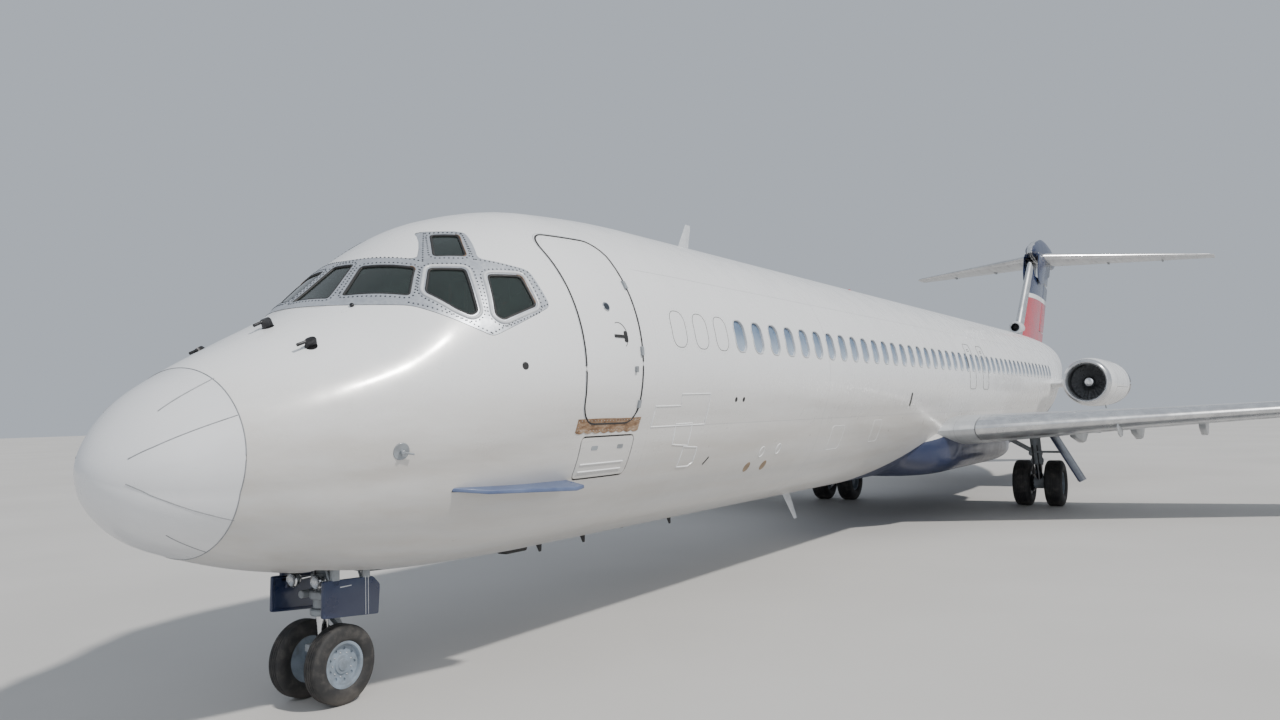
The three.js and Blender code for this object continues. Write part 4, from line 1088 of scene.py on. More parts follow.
def make_nose():
    """The nose with its window band's recess, cockpit hollow, gear well and door spaces."""
    nose = skin_loft("nose_skin", BARRELS["seam"] + TOUCH / 2, BARRELS["forward"] - TOUCH / 2)
    recess = side_prism("recess", grown(band_outline(), 0.004), -EXTRA_REACH, EXTRA_REACH)
    cut(recess, skin_loft("floor", *NOSE_RANGE, extra=-GLAZING_DEPTH - TOUCH))
    hollow = block("hollow", COCKPIT["front"], COCKPIT["back"], -COCKPIT["half"], COCKPIT["half"],
                   COCKPIT["floor"], COCKPIT["roof"])
    cut(hollow, skin_loft("inner", *NOSE_RANGE, extra=-COCKPIT["skin"]), operation="INTERSECT")
    well = block("well", NOSE_WELL["front"], NOSE_WELL["back"], -NOSE_WELL["half"], NOSE_WELL["half"], 0.5,
                 NOSE_WELL["top"])
    door = skin_plate("door_space", PORT, hatch(PASSENGER_DOOR, TOUCH), 0.05, 0.05 + DOOR_DEPTH + TOUCH)
    stair = skin_plate("stair_space", PORT, hatch(AIRSTAIR_DOOR, CLEAR), 0.05, 0.05 + DOOR_DEPTH + CLEAR)
    cut(nose, recess, hollow, well, door, stair)
    coloured(nose, "white", "inside", "gear")

    def along(space, station):
        return space["front"] - 0.05 < station < space["back"] + 0.02

    for face in nose.data.polygons:
        middle = face.center
        station, height = MIDDLE - middle.x / HALF, middle.z / HALF
        deep = (SKIN.find_nearest(middle)[0] - middle).length > 0.03 * HALF
        face.material_index = 0
        if deep and along(COCKPIT, station) and height > COCKPIT["floor"] - 0.02:
            face.material_index = 1
        if deep and along(NOSE_WELL, station) and height < NOSE_WELL["top"] + 0.02:
            face.material_index = 2
    return nose


def make_radome():
    return coloured(skin_loft("radome_shell", NOSE_TIP, BARRELS["seam"] - TOUCH / 2), "radome")


placed(make_radome(), "airframe", "radome_white", "radome")
placed(make_nose(), "airframe", "white_paint", "fuselage_nose")


def make_glazing():
    """The band, with an opening cut for each pane."""
    band = make_band()
    for _, flat, outline in PANE_LIST:
        cut(band, flat_prism("opening", flat, outline, -0.3, 0.3))
    coloured(band, "band")
    return placed(band, "airframe", "window_frame", "cockpit_glazing")


make_glazing()


# The stretch of a pane's edge that has old sealant, as parts of its way round
SEALANT = {"eyebrow": (0.3, 0.72), "front": (0.52, 0.76), "aft_side": (0.2, 0.46)}


def make_panes():
    """Glass, seals, rims and old sealant of the flight deck panes."""
    glass, seals, rims, rust = [], [], [], []
    for name, flat, outline in PANE_LIST:
        glass.append(skin_plate("glass", flat, grown(outline, -0.002), -0.012, 0.008, 0.08))
        seals.append(outline_tube("seal", flat, grown(outline, -0.012), 0.012, -0.008))
        if name.startswith(("sliding", "aft_side")):
            rims.append(outline_tube("rim", flat, grown(outline, 0.026), 0.018, 0.0, 12))
        if name.startswith(("eyebrow", "front", "aft_side")):
            count = len(outline)
            line = grown(outline, -0.002)
            first, last = SEALANT[name.rsplit("_", 1)[0]]
            edge = [line[i % count] for i in range(round(first * count), round(last * count))]
            rust.append(tube("rust", [flat.cast(u, v, 0.003)[0] for u, v in edge], 0.006 * HALF, 8))
    for name, things, key in (("flight_deck_glass", glass, "glass"), ("window_seals", seals, "seal"),
                              ("window_rims", rims, "rim"), ("window_sealant", rust, "sealant")):
        dress(name, things, key, "airframe", "window_frame")


make_panes()


def make_band_rivets():
    """Rivets round each pane and along the band's edge."""
    spots = []
    for name, flat, outline in PANE_LIST:
        away = 0.06 if name.startswith(("sliding", "aft_side")) else 0.03
        spots += rivet_spots(flat, grown(outline, away), 0.04, 0.004)
    edge = grown(GLAZING, -0.022)
    for flat in (PORT, STARBOARD):
        line = edge[1:-1]
        for a, b in zip(line, line[1:]):
            points = [flat.cast(*a)[0], flat.cast(*b)[0]]
            spots += [spot_on_skin(point, 0.004) for point in spaced(points, 0.04)]
    rivet_rows("band_rivets", spots, "band", "rivet")


make_band_rivets()


# Barrels of the fuselage, with the spaces of their doors and windows
WINDOW_STATIONS = [WINDOWS["first"] + WINDOWS["pitch"] * i for i in range(WINDOWS["count"])]
BLANK_STATIONS = [WINDOWS["first"] - WINDOWS["pitch"] * i for i in (1, 2, 3)]
WINDOW_CORNER = 0.11
FAIRING = [
    (15.2, 1.0, 1.2, 1.7), (16.2, 1.5, 0.95, 1.95), (17.2, 1.62, 0.91, 2.05), (21.2, 1.62, 0.91, 1.95),
    (22.4, 1.48, 1.0, 1.7), (23.0, 1.1, 1.2, 1.5),
]


def bevelled(thing, width, segments=2):
    """The object with its crisp edges rounded."""
    step = thing.modifiers.new("edges", "BEVEL")
    step.width = width * HALF
    step.segments = segments
    step.limit_method = "ANGLE"
    step.angle_limit = radians(40)
    return finished(baked(thing))


def window_outline(station, more=0.0):
    half, tall = WINDOWS["width"] / 2, WINDOWS["tall"] / 2
    height = WINDOWS["height"]
    return hatch((station - half, station + half, height - tall, height + tall, WINDOW_CORNER), more)


def window_spaces(first, last):
    spaces = []
    for station in WINDOW_STATIONS:
        if first - 0.2 < station < last + 0.2:
            for y0, y1 in ((1.5, 2.0), (-2.0, -1.5)):
                spaces.append(side_prism("space", window_outline(station), y0, y1))
    return joined("window_spaces", spaces)


def door_space(flat, sizes, way):
    """The space a door needs in the skin, with a gap round it."""
    return skin_plate("space", flat, hatch(sizes, way), 0.05, 0.05 + DOOR_DEPTH + way, 0.1)


def make_fairing():
    """The fairing under the wing roots."""
    rings = []
    columns = table_lines(FAIRING, [row[0] for row in FAIRING])
    for i in range(41):
        station = FAIRING[0][0] + (FAIRING[-1][0] - FAIRING[0][0]) * i / 40
        half, low, high = (line(station) for line in columns)
        ring = []
        for angle in turns(64):
            across, up = cos(angle), sin(angle)
            y = half * (abs(across) ** 0.6) * (1 if across > 0 else -1)
            z = (high - low) / 2 * (abs(up) ** 0.6) * (1 if up > 0 else -1)
            ring.append(at(station, y, (low + high) / 2 + z))
        rings.append(ring)
    return loft("fairing", rings)


def make_barrel(name, first, last, *spaces):
    """A stretch of the fuselage with its window and door spaces cut out."""
    barrel = skin_loft(name, first + TOUCH / 2, last - TOUCH / 2 if last < BARRELS["end"] else last)
    cut(barrel, window_spaces(first, last), *spaces)
    return coloured(barrel, "white")


def under_outline(more=0.0):
    half = STAIR["half"] + more
    return [(STAIR["front"] - more, -half), (STAIR["back"] + more, -half), (STAIR["back"] + more, half),
            (STAIR["front"] - more, half)]


def make_fuselage():
    """The barrels behind the nose, with the jacking pad and the fairing under the wing."""
    forward = make_barrel("forward_skin", BARRELS["forward"], BARRELS["centre"],
                          door_space(STARBOARD, CARGO_FORWARD, CLEAR))
    pad = rod("pad", (6.9, 0, 1.2), (6.9, 0, 0.94), 0.07, 32, bevel=0.012)
    forward = joined("forward_skin", [forward, coloured(pad, "gear")])
    placed(forward, "airframe", "white_paint", "fuselage_forward")
    centre = make_barrel("centre_skin", BARRELS["centre"], BARRELS["aft"])
    cut(centre, make_fairing(), operation="UNION")
    placed(coloured(centre, "white"), "airframe", "white_paint", "fuselage_centre")
    stair = skin_plate("space", UNDER, under_outline(CLEAR), 0.05, 0.05 + STAIR["depth"] + CLEAR, 0.3)
    door = door_space(STARBOARD, CARGO_AFT, CLEAR)
    aft = make_barrel("aft_skin", BARRELS["aft"], BARRELS["end"], door, stair)
    placed(aft, "airframe", "white_paint", "fuselage_aft")


make_fuselage()


# Cabin windows
def make_windows():
    """Glass, rims, a black sheet of painted shade for the dim cabin behind, and pulled shades for every
    window.
    """
    glass, rims, cabin, shades = [], [], [], []
    chance = random.Random(11)
    for flat in (PORT, STARBOARD):
        for station in WINDOW_STATIONS:
            outline = window_outline(station, -0.003)
            glass.append(skin_plate("glass", flat, outline, -0.02, 0.01, 0.4))
            rims.append(outline_tube("rim", flat, window_outline(station, 0.006), 0.01, 0.0, 6))
            # A black sheet of painted shade where the dim cabin would be.
            cabin.append(skin_plate("cabin", flat, outline, -0.07, 0.01, 0.4))
            drawn = chance.choice((0, 0, 0, 0.3, 0.55, 1))
            if drawn:
                high = WINDOWS["height"] + WINDOWS["tall"] / 2 - 0.004
                low = high - drawn * (WINDOWS["tall"] - 0.008)
                half = WINDOWS["width"] / 2 - 0.006
                corner = min(0.1, (high - low) / 2 - 0.002)
                blind = hatch((station - half, station + half, low, high, corner), 0.0, 4)
                shades.append(skin_plate("shade", flat, blind, -0.045, 0.012, 0.4))
    dress("cabin_window_glass", glass, "pane", "airframe", "engine_dark")
    dress("cabin_window_rims", rims, "rim", "airframe", "window_frame")
    dress("cabin_behind_windows", cabin, "seal", "airframe", "engine_dark")
    dress("window_shades", shades, "shade", "airframe", "white_paint")


make_windows()


def make_plugs():
    """Window openings that are closed with flush plates, and the overwing exits' edges."""
    lines, rivets = [], []
    for flat in (PORT, STARBOARD):
        for station in BLANK_STATIONS:
            lines.append(outline_tube("plug", flat, window_outline(station, 0.01), 0.004, -0.001, 6))
            rivets += rivet_spots(flat, window_outline(station, 0.04), 0.05, 0.0)
        for station in EXITS:
            edge = hatch((station - 0.26, station + 0.26, 2.69, 3.65, 0.1))
            lines.append(outline_tube("exit", flat, edge, 0.006, -0.001, 6))
            rivets += rivet_spots(flat, grown(edge, 0.04), 0.07, 0.0)
            handle = hatch((station - 0.07, station + 0.07, 3.49, 3.54, 0.02))
            lines.append(outline_tube("handle", flat, handle, 0.005, 0.0, 6))
    lines.append(outline_tube("service", STARBOARD, hatch(SERVICE_DOOR), 0.007, -0.001, 6))
    dress("exit_and_plug_edges", lines, "seal", "airframe", "engine_dark")
    rivet_rows("exit_rivets", rivets, "exit")


make_plugs()


# Doors
def post(name, spot, way, radius, length, sides=20, bevel=0.0, last=None):
    """A round stud that stands on a point. Its sizes are full-size metres."""
    turn = way.to_track_quat("Z", "Y").to_matrix()
    end = radius if last is None else last
    profile = [(0.0, radius), (length - bevel, end), (length, max(0.0005, end - bevel))]
    return loft(name, [turned_ring(spot, turn, r * HALF, along * HALF, sides) for along, r in profile], 40)


def skin_post(name, place, sunk, *sizes):
    """A post that stands out of the skin near a place, its foot sunk by a built distance."""
    spot, normal = on_skin(at(*place))
    return post(name, spot - normal * sunk, normal, *sizes)


def door_panel(name, flat, sizes):
    return skin_plate(name, flat, hatch(sizes), 0.0, DOOR_DEPTH, 0.1)


def make_passenger_door():
    """The shut door, its dark seam and its light edge."""
    door = coloured(door_panel("passenger_door_skin", PORT, PASSENGER_DOOR), "white")
    placed(door, "airframe", "white_paint", "passenger_door")
    seam = outline_tube("door_seam", PORT, hatch(PASSENGER_DOOR, 0.001), 0.011, -0.002)
    placed(coloured(seam, "seal"), "airframe", "engine_dark")
    edge = outline_tube("door_edge", PORT, hatch(PASSENGER_DOOR, 0.016), 0.008, -0.004)
    placed(coloured(edge, "rim"), "airframe", "white_paint")


def make_door_fittings():
    """Peephole, handle, brackets, the scuffed plate under the door, and rivets round it."""
    eye = (4.38, 1.58, 3.4)
    ring = skin_post("ring", eye, 0.004, 0.05, 0.016, 32, 0.006)
    glass = skin_post("glass", eye, 0.004, 0.036, 0.02, 32, 0.004)
    dress("door_eye_ring", [ring], "bright", "airframe", "bare_skin")
    dress("door_eye_glass", [glass], "dark_pane", "airframe", "engine_dark")
    arc = [PORT.cast(4.49 + 0.13 * cos(radians(a)), 3.12 + 0.13 * sin(radians(a)), 0.002)[0]
           for a in range(-50, 111, 10)]
    handle = [tube("arc", arc, 0.003 * HALF, 6)]
    handle.append(skin_plate("grip", PORT, hatch((4.4, 4.58, 3.1, 3.13, 0.012)), 0.008, 0.02, 0.1))
    # The handle's pocket is a black plate of painted shade.
    handle.append(skin_plate("pocket", PORT, hatch((4.56, 4.62, 3.06, 3.17, 0.02)), 0.004, 0.012, 0.1))
    dress("door_handle", handle, "seal", "airframe", "engine_dark")
    small = []
    for station, low, high in ((4.84, 2.94, 3.03), (4.73, 2.77, 2.83), (4.84, 3.62, 3.7), (4.84, 2.42, 2.5)):
        sizes = (station - 0.02, station + 0.02, low, high, 0.01)
        small.append(skin_plate("bracket", PORT, hatch(sizes), 0.022, 0.04))
    dress("door_brackets", small, "gear", "airframe", "gear_grey")
    lower = [(3.89 + 0.1325 * i / 4, 2.205 - 0.018 * abs(sin(pi * i / 4))) for i in range(33)]
    outline = lower + [(4.95, 2.33), (4.6, 2.325), (4.25, 2.33), (3.89, 2.325)]
    plate = skin_plate("scuffed_door_plate", PORT, outline, 0.004, 0.012, 0.12)
    placed(coloured(plate, "plate"), "airframe", "window_frame")
    rivets = rivet_spots(PORT, grown(hatch(PASSENGER_DOOR), 0.06), 0.055)
    rivets += rivet_spots(PORT, grown(hatch(PASSENGER_DOOR), -0.035), 0.055)
    rivets += rivet_spots(PORT, [(3.91, 2.22), (4.93, 2.22), (4.93, 2.31), (3.91, 2.31)], 0.05, 0.005)
    rivet_rows("door_rivets", rivets)


def make_small_doors():
    """The airstair's and the cargo doors, each with its inner pan, rivets and latches."""
    for name, flat, sizes, hinge_low in (("airstair_door", PORT, AIRSTAIR_DOOR, True),
                                         ("cargo_door_forward", STARBOARD, CARGO_FORWARD, False),
                                         ("cargo_door_aft", STARBOARD, CARGO_AFT, False)):
        door = coloured(door_panel(name + "_skin", flat, sizes), "white")
        placed(door, name, "white_paint", name)
        pan = skin_plate(name + "_pan", flat, hatch(sizes, -0.03), 0.004 - DOOR_DEPTH, 0.01, 0.1)
        placed(coloured(pan, "gear"), name, "gear_grey")
        front, back, low, high, _ = sizes
        level = low + 0.035 if hinge_low else high - 0.035
        rivets = rivet_spots(flat, hatch(sizes, -0.03), 0.055)
        rivets += flat_line(flat, (front + 0.05, level), (back - 0.05, level), 0.03)
        latch_level = high - 0.1 if hinge_low else low + 0.12
        latches = []
        for part in (0.25, 0.75):
            middle = front + (back - front) * part
            latch = (middle - 0.05, middle + 0.05, latch_level - 0.02, latch_level + 0.02, 0.012)
            latches.append(skin_plate("latch", flat, hatch(latch), 0.003, 0.01))
        dress(name + "_latches", latches, "gear", name, "gear_grey")
        rivet_rows(name + "_rivets", rivets, body=name)


def flat_line(flat, first, last, gap):
    """Spots for rivets on the skin along a straight line of a flat frame."""
    ends = [Vector(first), Vector(last)]
    count = max(1, round((ends[1] - ends[0]).length / gap))
    spots = []
    for i in range(count + 1):
        u, v = ends[0] + (ends[1] - ends[0]) * (i / count)
        point, normal = flat.cast(u, v)
        spots.append((point, turned_to(normal)))
    return spots


make_passenger_door()
make_door_fittings()
make_small_doors()


# Stair in the tail's floor
STEPS = 9


def make_ventral_stair():
    """The tail's stair, with a pocket and a tread for each step, and the seam round it."""
    stair = skin_plate("ventral_stair_skin", UNDER, under_outline(), 0.0, STAIR["depth"], 0.3)
    front, length = STAIR["front"] + 0.12, STAIR["back"] - STAIR["front"] - 0.24
    half = STAIR["half"] - 0.07
    pockets = []
    for i in range(STEPS):
        first = front + length * i / STEPS
        last = first + length / STEPS - 0.07
        outline = [(first, -half), (last, -half), (last, half), (first, half)]
        pockets.append(skin_plate("pocket", UNDER, outline, -0.05, 0.4, 0.5))
    cut(stair, joined("pockets", pockets))
    placed(coloured(stair, "white"), "ventral_stair", "white_paint", "ventral_stair")
    treads = []
    for i in range(STEPS):
        first = front + length * (i + 1) / STEPS - 0.068
        outline = [(first, -half), (first + 0.066, -half), (first + 0.066, half), (first, half)]
        treads.append(skin_plate("tread", UNDER, outline, -STAIR["depth"] - 0.001, 0.004, 0.5))
    dress("stair_treads", treads, "tread", "ventral_stair", "engine_dark")
    edge = outline_tube("stair_seam", UNDER, under_outline(0.006), 0.005, -0.004, 6)
    placed(coloured(edge, "seal"), "airframe", "engine_dark")


make_ventral_stair()


# Wing. Rows: y, leading edge station, leading edge height, chord, thickness ratio.
WING = [
    (0.6, 15.886, 1.805, 5.53, 0.12),
    (1.62, 16.42, 1.858, 5.12, 0.12),
    (5.0, 18.19, 2.035, 3.75, 0.11),
    (13.9, 22.85, 2.5, 1.32, 0.1),
    (14.235, 23.12, 2.53, 0.9, 0.07),
]
WING_INCIDENCE = 0.017
WING_ROWS = (0.6, 1.62, 5.0, 9.5, 13.9, 14.235)
SLAT = (2.05, 13.55, 0.12)
SPOILER = (5.3, 9.3, 0.65, 0.765, 0.045)
# Hinged surfaces: inner y, outer y, hinge as a part of the chord, gap,
# and 1 where the ends are square to the hinge line
FLAP_INNER = (2.0, 4.85, 0.8, 0.03, 1)
FLAP_OUTER = (5.1, 9.55, 0.8, 0.03, 1)
AILERON = (9.75, 13.4, 0.76, 0.026, 0)
FLAP_DROP = 0.36
FLAP_HINGES = {"inner": (3.4, 4.55), "outer": (5.8, 8.9)}
HINGE_EYE = 0.06
WING_PAD = {"part": 0.45, "y": 3.9, "foot": 1.7, "radius": 0.07}
FOIL_STEPS = 22


def foil_half(part, ratio):
    """An aerofoil's half thickness as a part of its chord."""
    p = min(1.0, max(0.0, part))
    return 5 * ratio * (0.2969 * sqrt(p) - 0.126 * p - 0.3516 * p ** 2 + 0.2843 * p ** 3 - 0.1015 * p ** 4)


def rows_near(table, y):
    i = 0
    while i < len(table) - 2 and table[i + 1][0] < y:
        i += 1
    return table[i], table[i + 1]


def row_at(table, y):
    a, b = rows_near(table, y)
    t = (y - a[0]) / (b[0] - a[0])
    return [v + (w - v) * t for v, w in zip(a, b)]


def chord_point(table, y, part, droop):
    _, station, height, chord, _ = row_at(table, y)
    return station + part * chord, y, height - part * chord * droop


PARTS = [(1 - cos(pi * i / FOIL_STEPS)) / 2 for i in range(FOIL_STEPS + 1)]


def both_faces(spot):
    """A ring along a foil's upper face and back along its lower one."""
    return [spot(p, 1) for p in PARTS] + [spot(p, -1) for p in reversed(PARTS[1:])]


def blunt_half(part, ratio, least=0.002):
    """An aerofoil's half thickness, with a trailing edge that isn't sharp."""
    return max(foil_half(part, ratio), least if part > 0.9 else 0.0)


def foil_ring(table, y, droop, drop=0.0):
    _, station, height, chord, ratio = row_at(table, y)

    def spot(part, side):
        half = side * chord * blunt_half(part, ratio, 0.001)
        return at(station + part * chord, y, height - part * chord * droop + half - drop)

    return both_faces(spot)


class HingeLine:
    """A hinged surface's straight stretch of its table."""

    def __init__(self, table, sizes):
        inner, outer, self.hinge, self.gap, square = sizes
        self.ends = (inner, outer)
        self.a, self.b = rows_near(table, (inner + outer) / 2)
        self.slope = square * (self.station(1, self.hinge) - self.station(0, self.hinge))

    def row(self, y):
        t = (y - self.a[0]) / (self.b[0] - self.a[0])
        return [v + (w - v) * t for v, w in zip(self.a, self.b)]

    def station(self, y, part):
        row = self.row(y)
        return row[1] + part * row[3]

    def ring(self, y, droop):
        """A ring at one end, whose nose is round about the hinge line."""
        hinge, slope = self.hinge, self.slope
        start = self.station(y, hinge)

        def spot(part, half, ahead=0.0):
            lean = self.station(1, part) - self.station(0, part)
            along = (self.station(0, part) + lean * (y + start * slope)) / (1 + lean * slope)
            across = y - (along - start) * slope
            _, _, height, chord, ratio = self.row(across)
            lift = half * chord * max(foil_half(part, ratio), 0.0015)
            return at(along - ahead, across + ahead * slope, height - part * chord * droop + lift)

        parts = [hinge + (1 - hinge) * i / 8 for i in range(9)]
        ring = [spot(p, 1) for p in parts] + [spot(p, -1) for p in reversed(parts)]
        _, _, _, chord, ratio = self.row(y)
        radius = chord * foil_half(hinge, ratio)
        for k in range(1, 12):
            turn = radians(270 - 15 * k)
            ring.append(spot(hinge, sin(turn), -radius * cos(turn)))
        return ring

    def solid(self, name, droop):
        inner, outer = self.ends
        ys = [inner + (outer - inner) * i / 4 for i in range(5)]
        return loft(name, [self.ring(y, droop) for y in ys])

    def space(self, low, high):
        def corner(y, side, aft):
            _, _, _, chord, ratio = self.row(y)
            away = aft or -chord * foil_half(self.hinge, ratio) - self.gap
            return self.station(y, self.hinge) + away, y + side * self.gap - away * self.slope

        inner, outer = self.ends
        outline = [corner(inner, -1, 0), corner(outer, 1, 0), corner(outer, 1, 3), corner(inner, -1, 3)]
        return plan_prism("space", outline, low, high)


WING_SWEEP = atan((WING[3][1] - WING[1][1]) / (WING[3][0] - WING[1][0]))


def slat_space(gap):
    inner, outer, back = SLAT
    reach = 0.8

    def line(y):
        return chord_point(WING, y, back, 0)[0] + gap

    y0, y1 = inner - gap, outer + gap
    end = (line(y1) - reach * cos(WING_SWEEP), y1 + reach * sin(WING_SWEEP))
    outline = [(line(y0), y0), (line(5), 5), (line(y1), y1), end, (line(y0) - 2, y0)]
    return plan_prism("space", outline, 1, 4)


def whole_wing(name, drop=0.0):
    return loft(name, [foil_ring(WING, y, WING_INCIDENCE, drop) for y in WING_ROWS])


def spoiler_space(gap, drop):
    inner, outer, front, back, _ = SPOILER
    corners = [(inner - gap, front, -gap), (outer + gap, front, -gap),
               (outer + gap, back, gap), (inner - gap, back, gap)]
    outline = [(chord_point(WING, y, part, 0)[0] + away, y) for y, part, away in corners]
    return cut(plan_prism("space", outline, 1, 4), whole_wing("lower", drop))


def flap_hinge(y, hinge):
    station, _, height = chord_point(WING, y, hinge + 0.03, WING_INCIDENCE)
    return station, height - FLAP_DROP


def hinge_fairing(y, hinge):
    """A fixed fairing under the wing, ahead of a flap's hinge."""
    station, height = flap_hinge(y, hinge)
    _, front, edge, chord, _ = row_at(WING, y)
    top = edge - 0.35 * chord * WING_INCIDENCE
    back = station - HINGE_EYE - CLEAR
    body = side_prism("fairing", [
        (front + 0.42 * chord, top), (front + 0.46 * chord, height + 0.19),
        (front + 0.52 * chord, height + 0.07), (back - 0.3, height - 0.08), (back, height - 0.07),
        (back, height + FLAP_DROP - 0.06), (back - 0.2, top),
    ], y - 0.07, y + 0.07)
    return bevelled(body, 0.03, 3)


def hinge_arm(y, hinge):
    station, height = flap_hinge(y, hinge)
    eye = [(station + HINGE_EYE * cos(radians(a)), height + HINGE_EYE * sin(radians(a)))
           for a in range(135, 271, 15)]
    outline = eye + [(station + 0.35, height + 0.08), (station + 0.4, height + FLAP_DROP),
                     (station + 0.02, height + FLAP_DROP)]
    arm = bevelled(side_prism("arm", outline, y - 0.06, y + 0.06), 0.012, 2)
    pin = rod("pin", (station, y - 0.066, height), (station, y + 0.066, height), 0.022, 16, bevel=0.004)
    return [coloured(arm, "wing"), coloured(pin, "bright")]


def both_sides(name, thing, body, slot, node=None):
    """The port piece, and its mirror image to starboard, each on its own body."""
    twin = mirrored(thing, name + "_right_piece")
    twin.data.materials.clear()
    for material in thing.data.materials:
        twin.data.materials.append(material)
    finished(twin)
    thing.name = name + "_left_piece"
    for piece, side in ((thing, "left"), (twin, "right")):
        home = body if body == "airframe" or body == "tailplane" else f"{body}_{side}"
        placed(piece, home, slot, *([f"{node}_{side}"] if node else []))


def make_wings():
    """The wings, with their slats, flaps, ailerons and spoilers."""
    wing = whole_wing("wing_skin")
    inner, outer, aileron = HingeLine(WING, FLAP_INNER), HingeLine(WING, FLAP_OUTER), HingeLine(WING, AILERON)
    cut(wing, slat_space(CLEAR), inner.space(1.2, 4), outer.space(1.2, 4), aileron.space(1, 4),
        spoiler_space(CLEAR, SPOILER[4] + CLEAR))
    fairings = [hinge_fairing(y, FLAP_INNER[2]) for y in FLAP_HINGES["inner"]]
    fairings += [hinge_fairing(y, FLAP_OUTER[2]) for y in FLAP_HINGES["outer"]]
    y, foot = WING_PAD["y"], WING_PAD["foot"]
    station = chord_point(WING, y, WING_PAD["part"], 0)[0]
    pad = rod("pad", (station, y, 2.0), (station, y, foot), WING_PAD["radius"], 32, bevel=0.012)
    coloured(wing, "wing")
    for fairing in fairings:
        coloured(fairing, "wing")
    wing = joined("wing_skin", [wing, *fairings, coloured(pad, "gear")])
    both_sides("wing", wing, "airframe", "bare_skin", "wing")

    slat = cut(whole_wing("slat"), slat_space(0), operation="INTERSECT")
    both_sides("slat", coloured(slat, "edge"), "slat", "bare_skin", "slat")
    for name, line, hinges, sizes in (("flap_inner", inner, FLAP_HINGES["inner"], FLAP_INNER),
                                      ("flap_outer", outer, FLAP_HINGES["outer"], FLAP_OUTER)):
        pieces = [coloured(line.solid(name, WING_INCIDENCE), "wing")]
        for y in hinges:
            pieces += hinge_arm(y, sizes[2])
        both_sides(name, joined(name, pieces), name, "bare_skin", name)
    both_sides("aileron", coloured(aileron.solid("aileron", WING_INCIDENCE), "wing"), "aileron", "bare_skin",
               "aileron")
    spoiler = cut(whole_wing("spoiler"), spoiler_space(0, SPOILER[4]), operation="INTERSECT")
    both_sides("spoiler", coloured(spoiler, "wing"), "spoiler", "bare_skin", "spoiler")


make_wings()


def wing_top(y, part, side=1, lift=0.0):
    """A point on the wing's upper or lower skin."""
    _, station, height, chord, ratio = row_at(WING, y)
    half = side * (chord * foil_half(part, ratio) + lift)
    return station + part * chord, y, height - part * chord * WING_INCIDENCE + half


SCREWS = {"first": 2.1, "length": 11.4, "count": 230, "part": 0.135}


def make_wing_fittings():
    """Tip lights, fuel caps, static wicks and rows of screws along the leading edge."""
    wicks, caps = [], []
    tip, _, level = chord_point(WING, 13.98, 0.04, WING_INCIDENCE)
    light = rod("light", (tip + 0.02, 14.02, level), (tip + 0.2, 14.16, level), 0.022, 16, 0.014, 0.006)
    for y in (10.2, 11.1, 12.0, 12.9):
        back = chord_point(WING, y, 0.985, WING_INCIDENCE)
        wicks.append(rod("wick", back, (back[0] + 0.17, y + 0.02, back[2] + 0.004), 0.006, 6, 0.002))
    for y, part in ((6.2, 0.4), (8.4, 0.42), (10.6, 0.42)):
        spot = wing_top(y, part, 1, -0.004)
        caps.append(rod("cap", spot, (spot[0], y, spot[2] + 0.009), 0.06, 28, bevel=0.004))
    both_sides("wing_tip_light", coloured(joined("light", [light]), "lamp"), "airframe", "bare_skin")
    wick = coloured(joined("wick", wicks), "hose")
    twin = mirrored(wick, "wick_right")
    for piece, side in ((wick, "left"), (coloured(twin, "hose"), "right")):
        piece.name = f"static_wicks_{side}"
        placed(piece, f"aileron_{side}", "engine_dark")
    both_sides("fuel_cap", coloured(joined("caps", caps), "gear"), "airframe", "gear_grey")
    for side, s in SIDES:
        spots = []
        for i in range(SCREWS["count"]):
            y = SCREWS["first"] + SCREWS["length"] * i / (SCREWS["count"] - 1)
            for face in (1, -1):
                station, _, height = wing_top(y, SCREWS["part"], face)
                spots.append((at(station, s * y, height), turned_to(Vector((0, 0, face)))))
        rivet_rows(f"wing_screws_{side}", spots, "screw", "rivet")


make_wing_fittings()


# Fin, rudder and tailplane
FIN = {"root": 4.6, "station": 31.2, "sweep": 1.05, "aft_sweep": 0.691, "chord": 4.75, "ratio": 0.095}
RUDDER = {"low": 4.95, "high": 6.78, "hinge": 0.68, "fall": 0.065, "gap": 0.045}
TAILPLANE = [(0.0, 35.45, 7.79, 3.5, 0.1), (5.45, 39.34, 7.79, 1.3, 0.09), (5.615, 39.6, 7.79, 1.12, 0.06)]
ELEVATOR = (0.5, 5.3, 0.68, 0.03, 0)
BULLET = [
    (34.2, 0.08, 7.76, 7.9), (34.4, 0.17, 7.68, 8.02), (34.7, 0.215, 7.6, 8.14), (35.3, 0.245, 7.52, 8.34),
    (36.3, 0.27, 7.52, 8.51),
    (37.5, 0.24, 7.52, 8.42), (38.6, 0.14, 7.6, 8.2), (39.3, 0.03, 7.82, 7.98),
]
FIN_TOP = [(34.17, 9), (34.17, 6.9), (34.67, 6.85), (35.37, 6.89), (36.35, 7.08), (38.2, 7.42),
           (42, 7.42), (42, 9)]
EDGE_PART = 0.07


def fin_edge(z):
    return FIN["station"] + (z - FIN["root"]) * FIN["sweep"]


def fin_back(z):
    return FIN["station"] + FIN["chord"] + (z - FIN["root"]) * FIN["aft_sweep"]


def fin_ring(z):
    front = fin_edge(z)
    chord = fin_back(z) - front

    def spot(part, side):
        return at(front + part * chord, side * chord * blunt_half(part, FIN["ratio"]), z)

    return both_faces(spot)


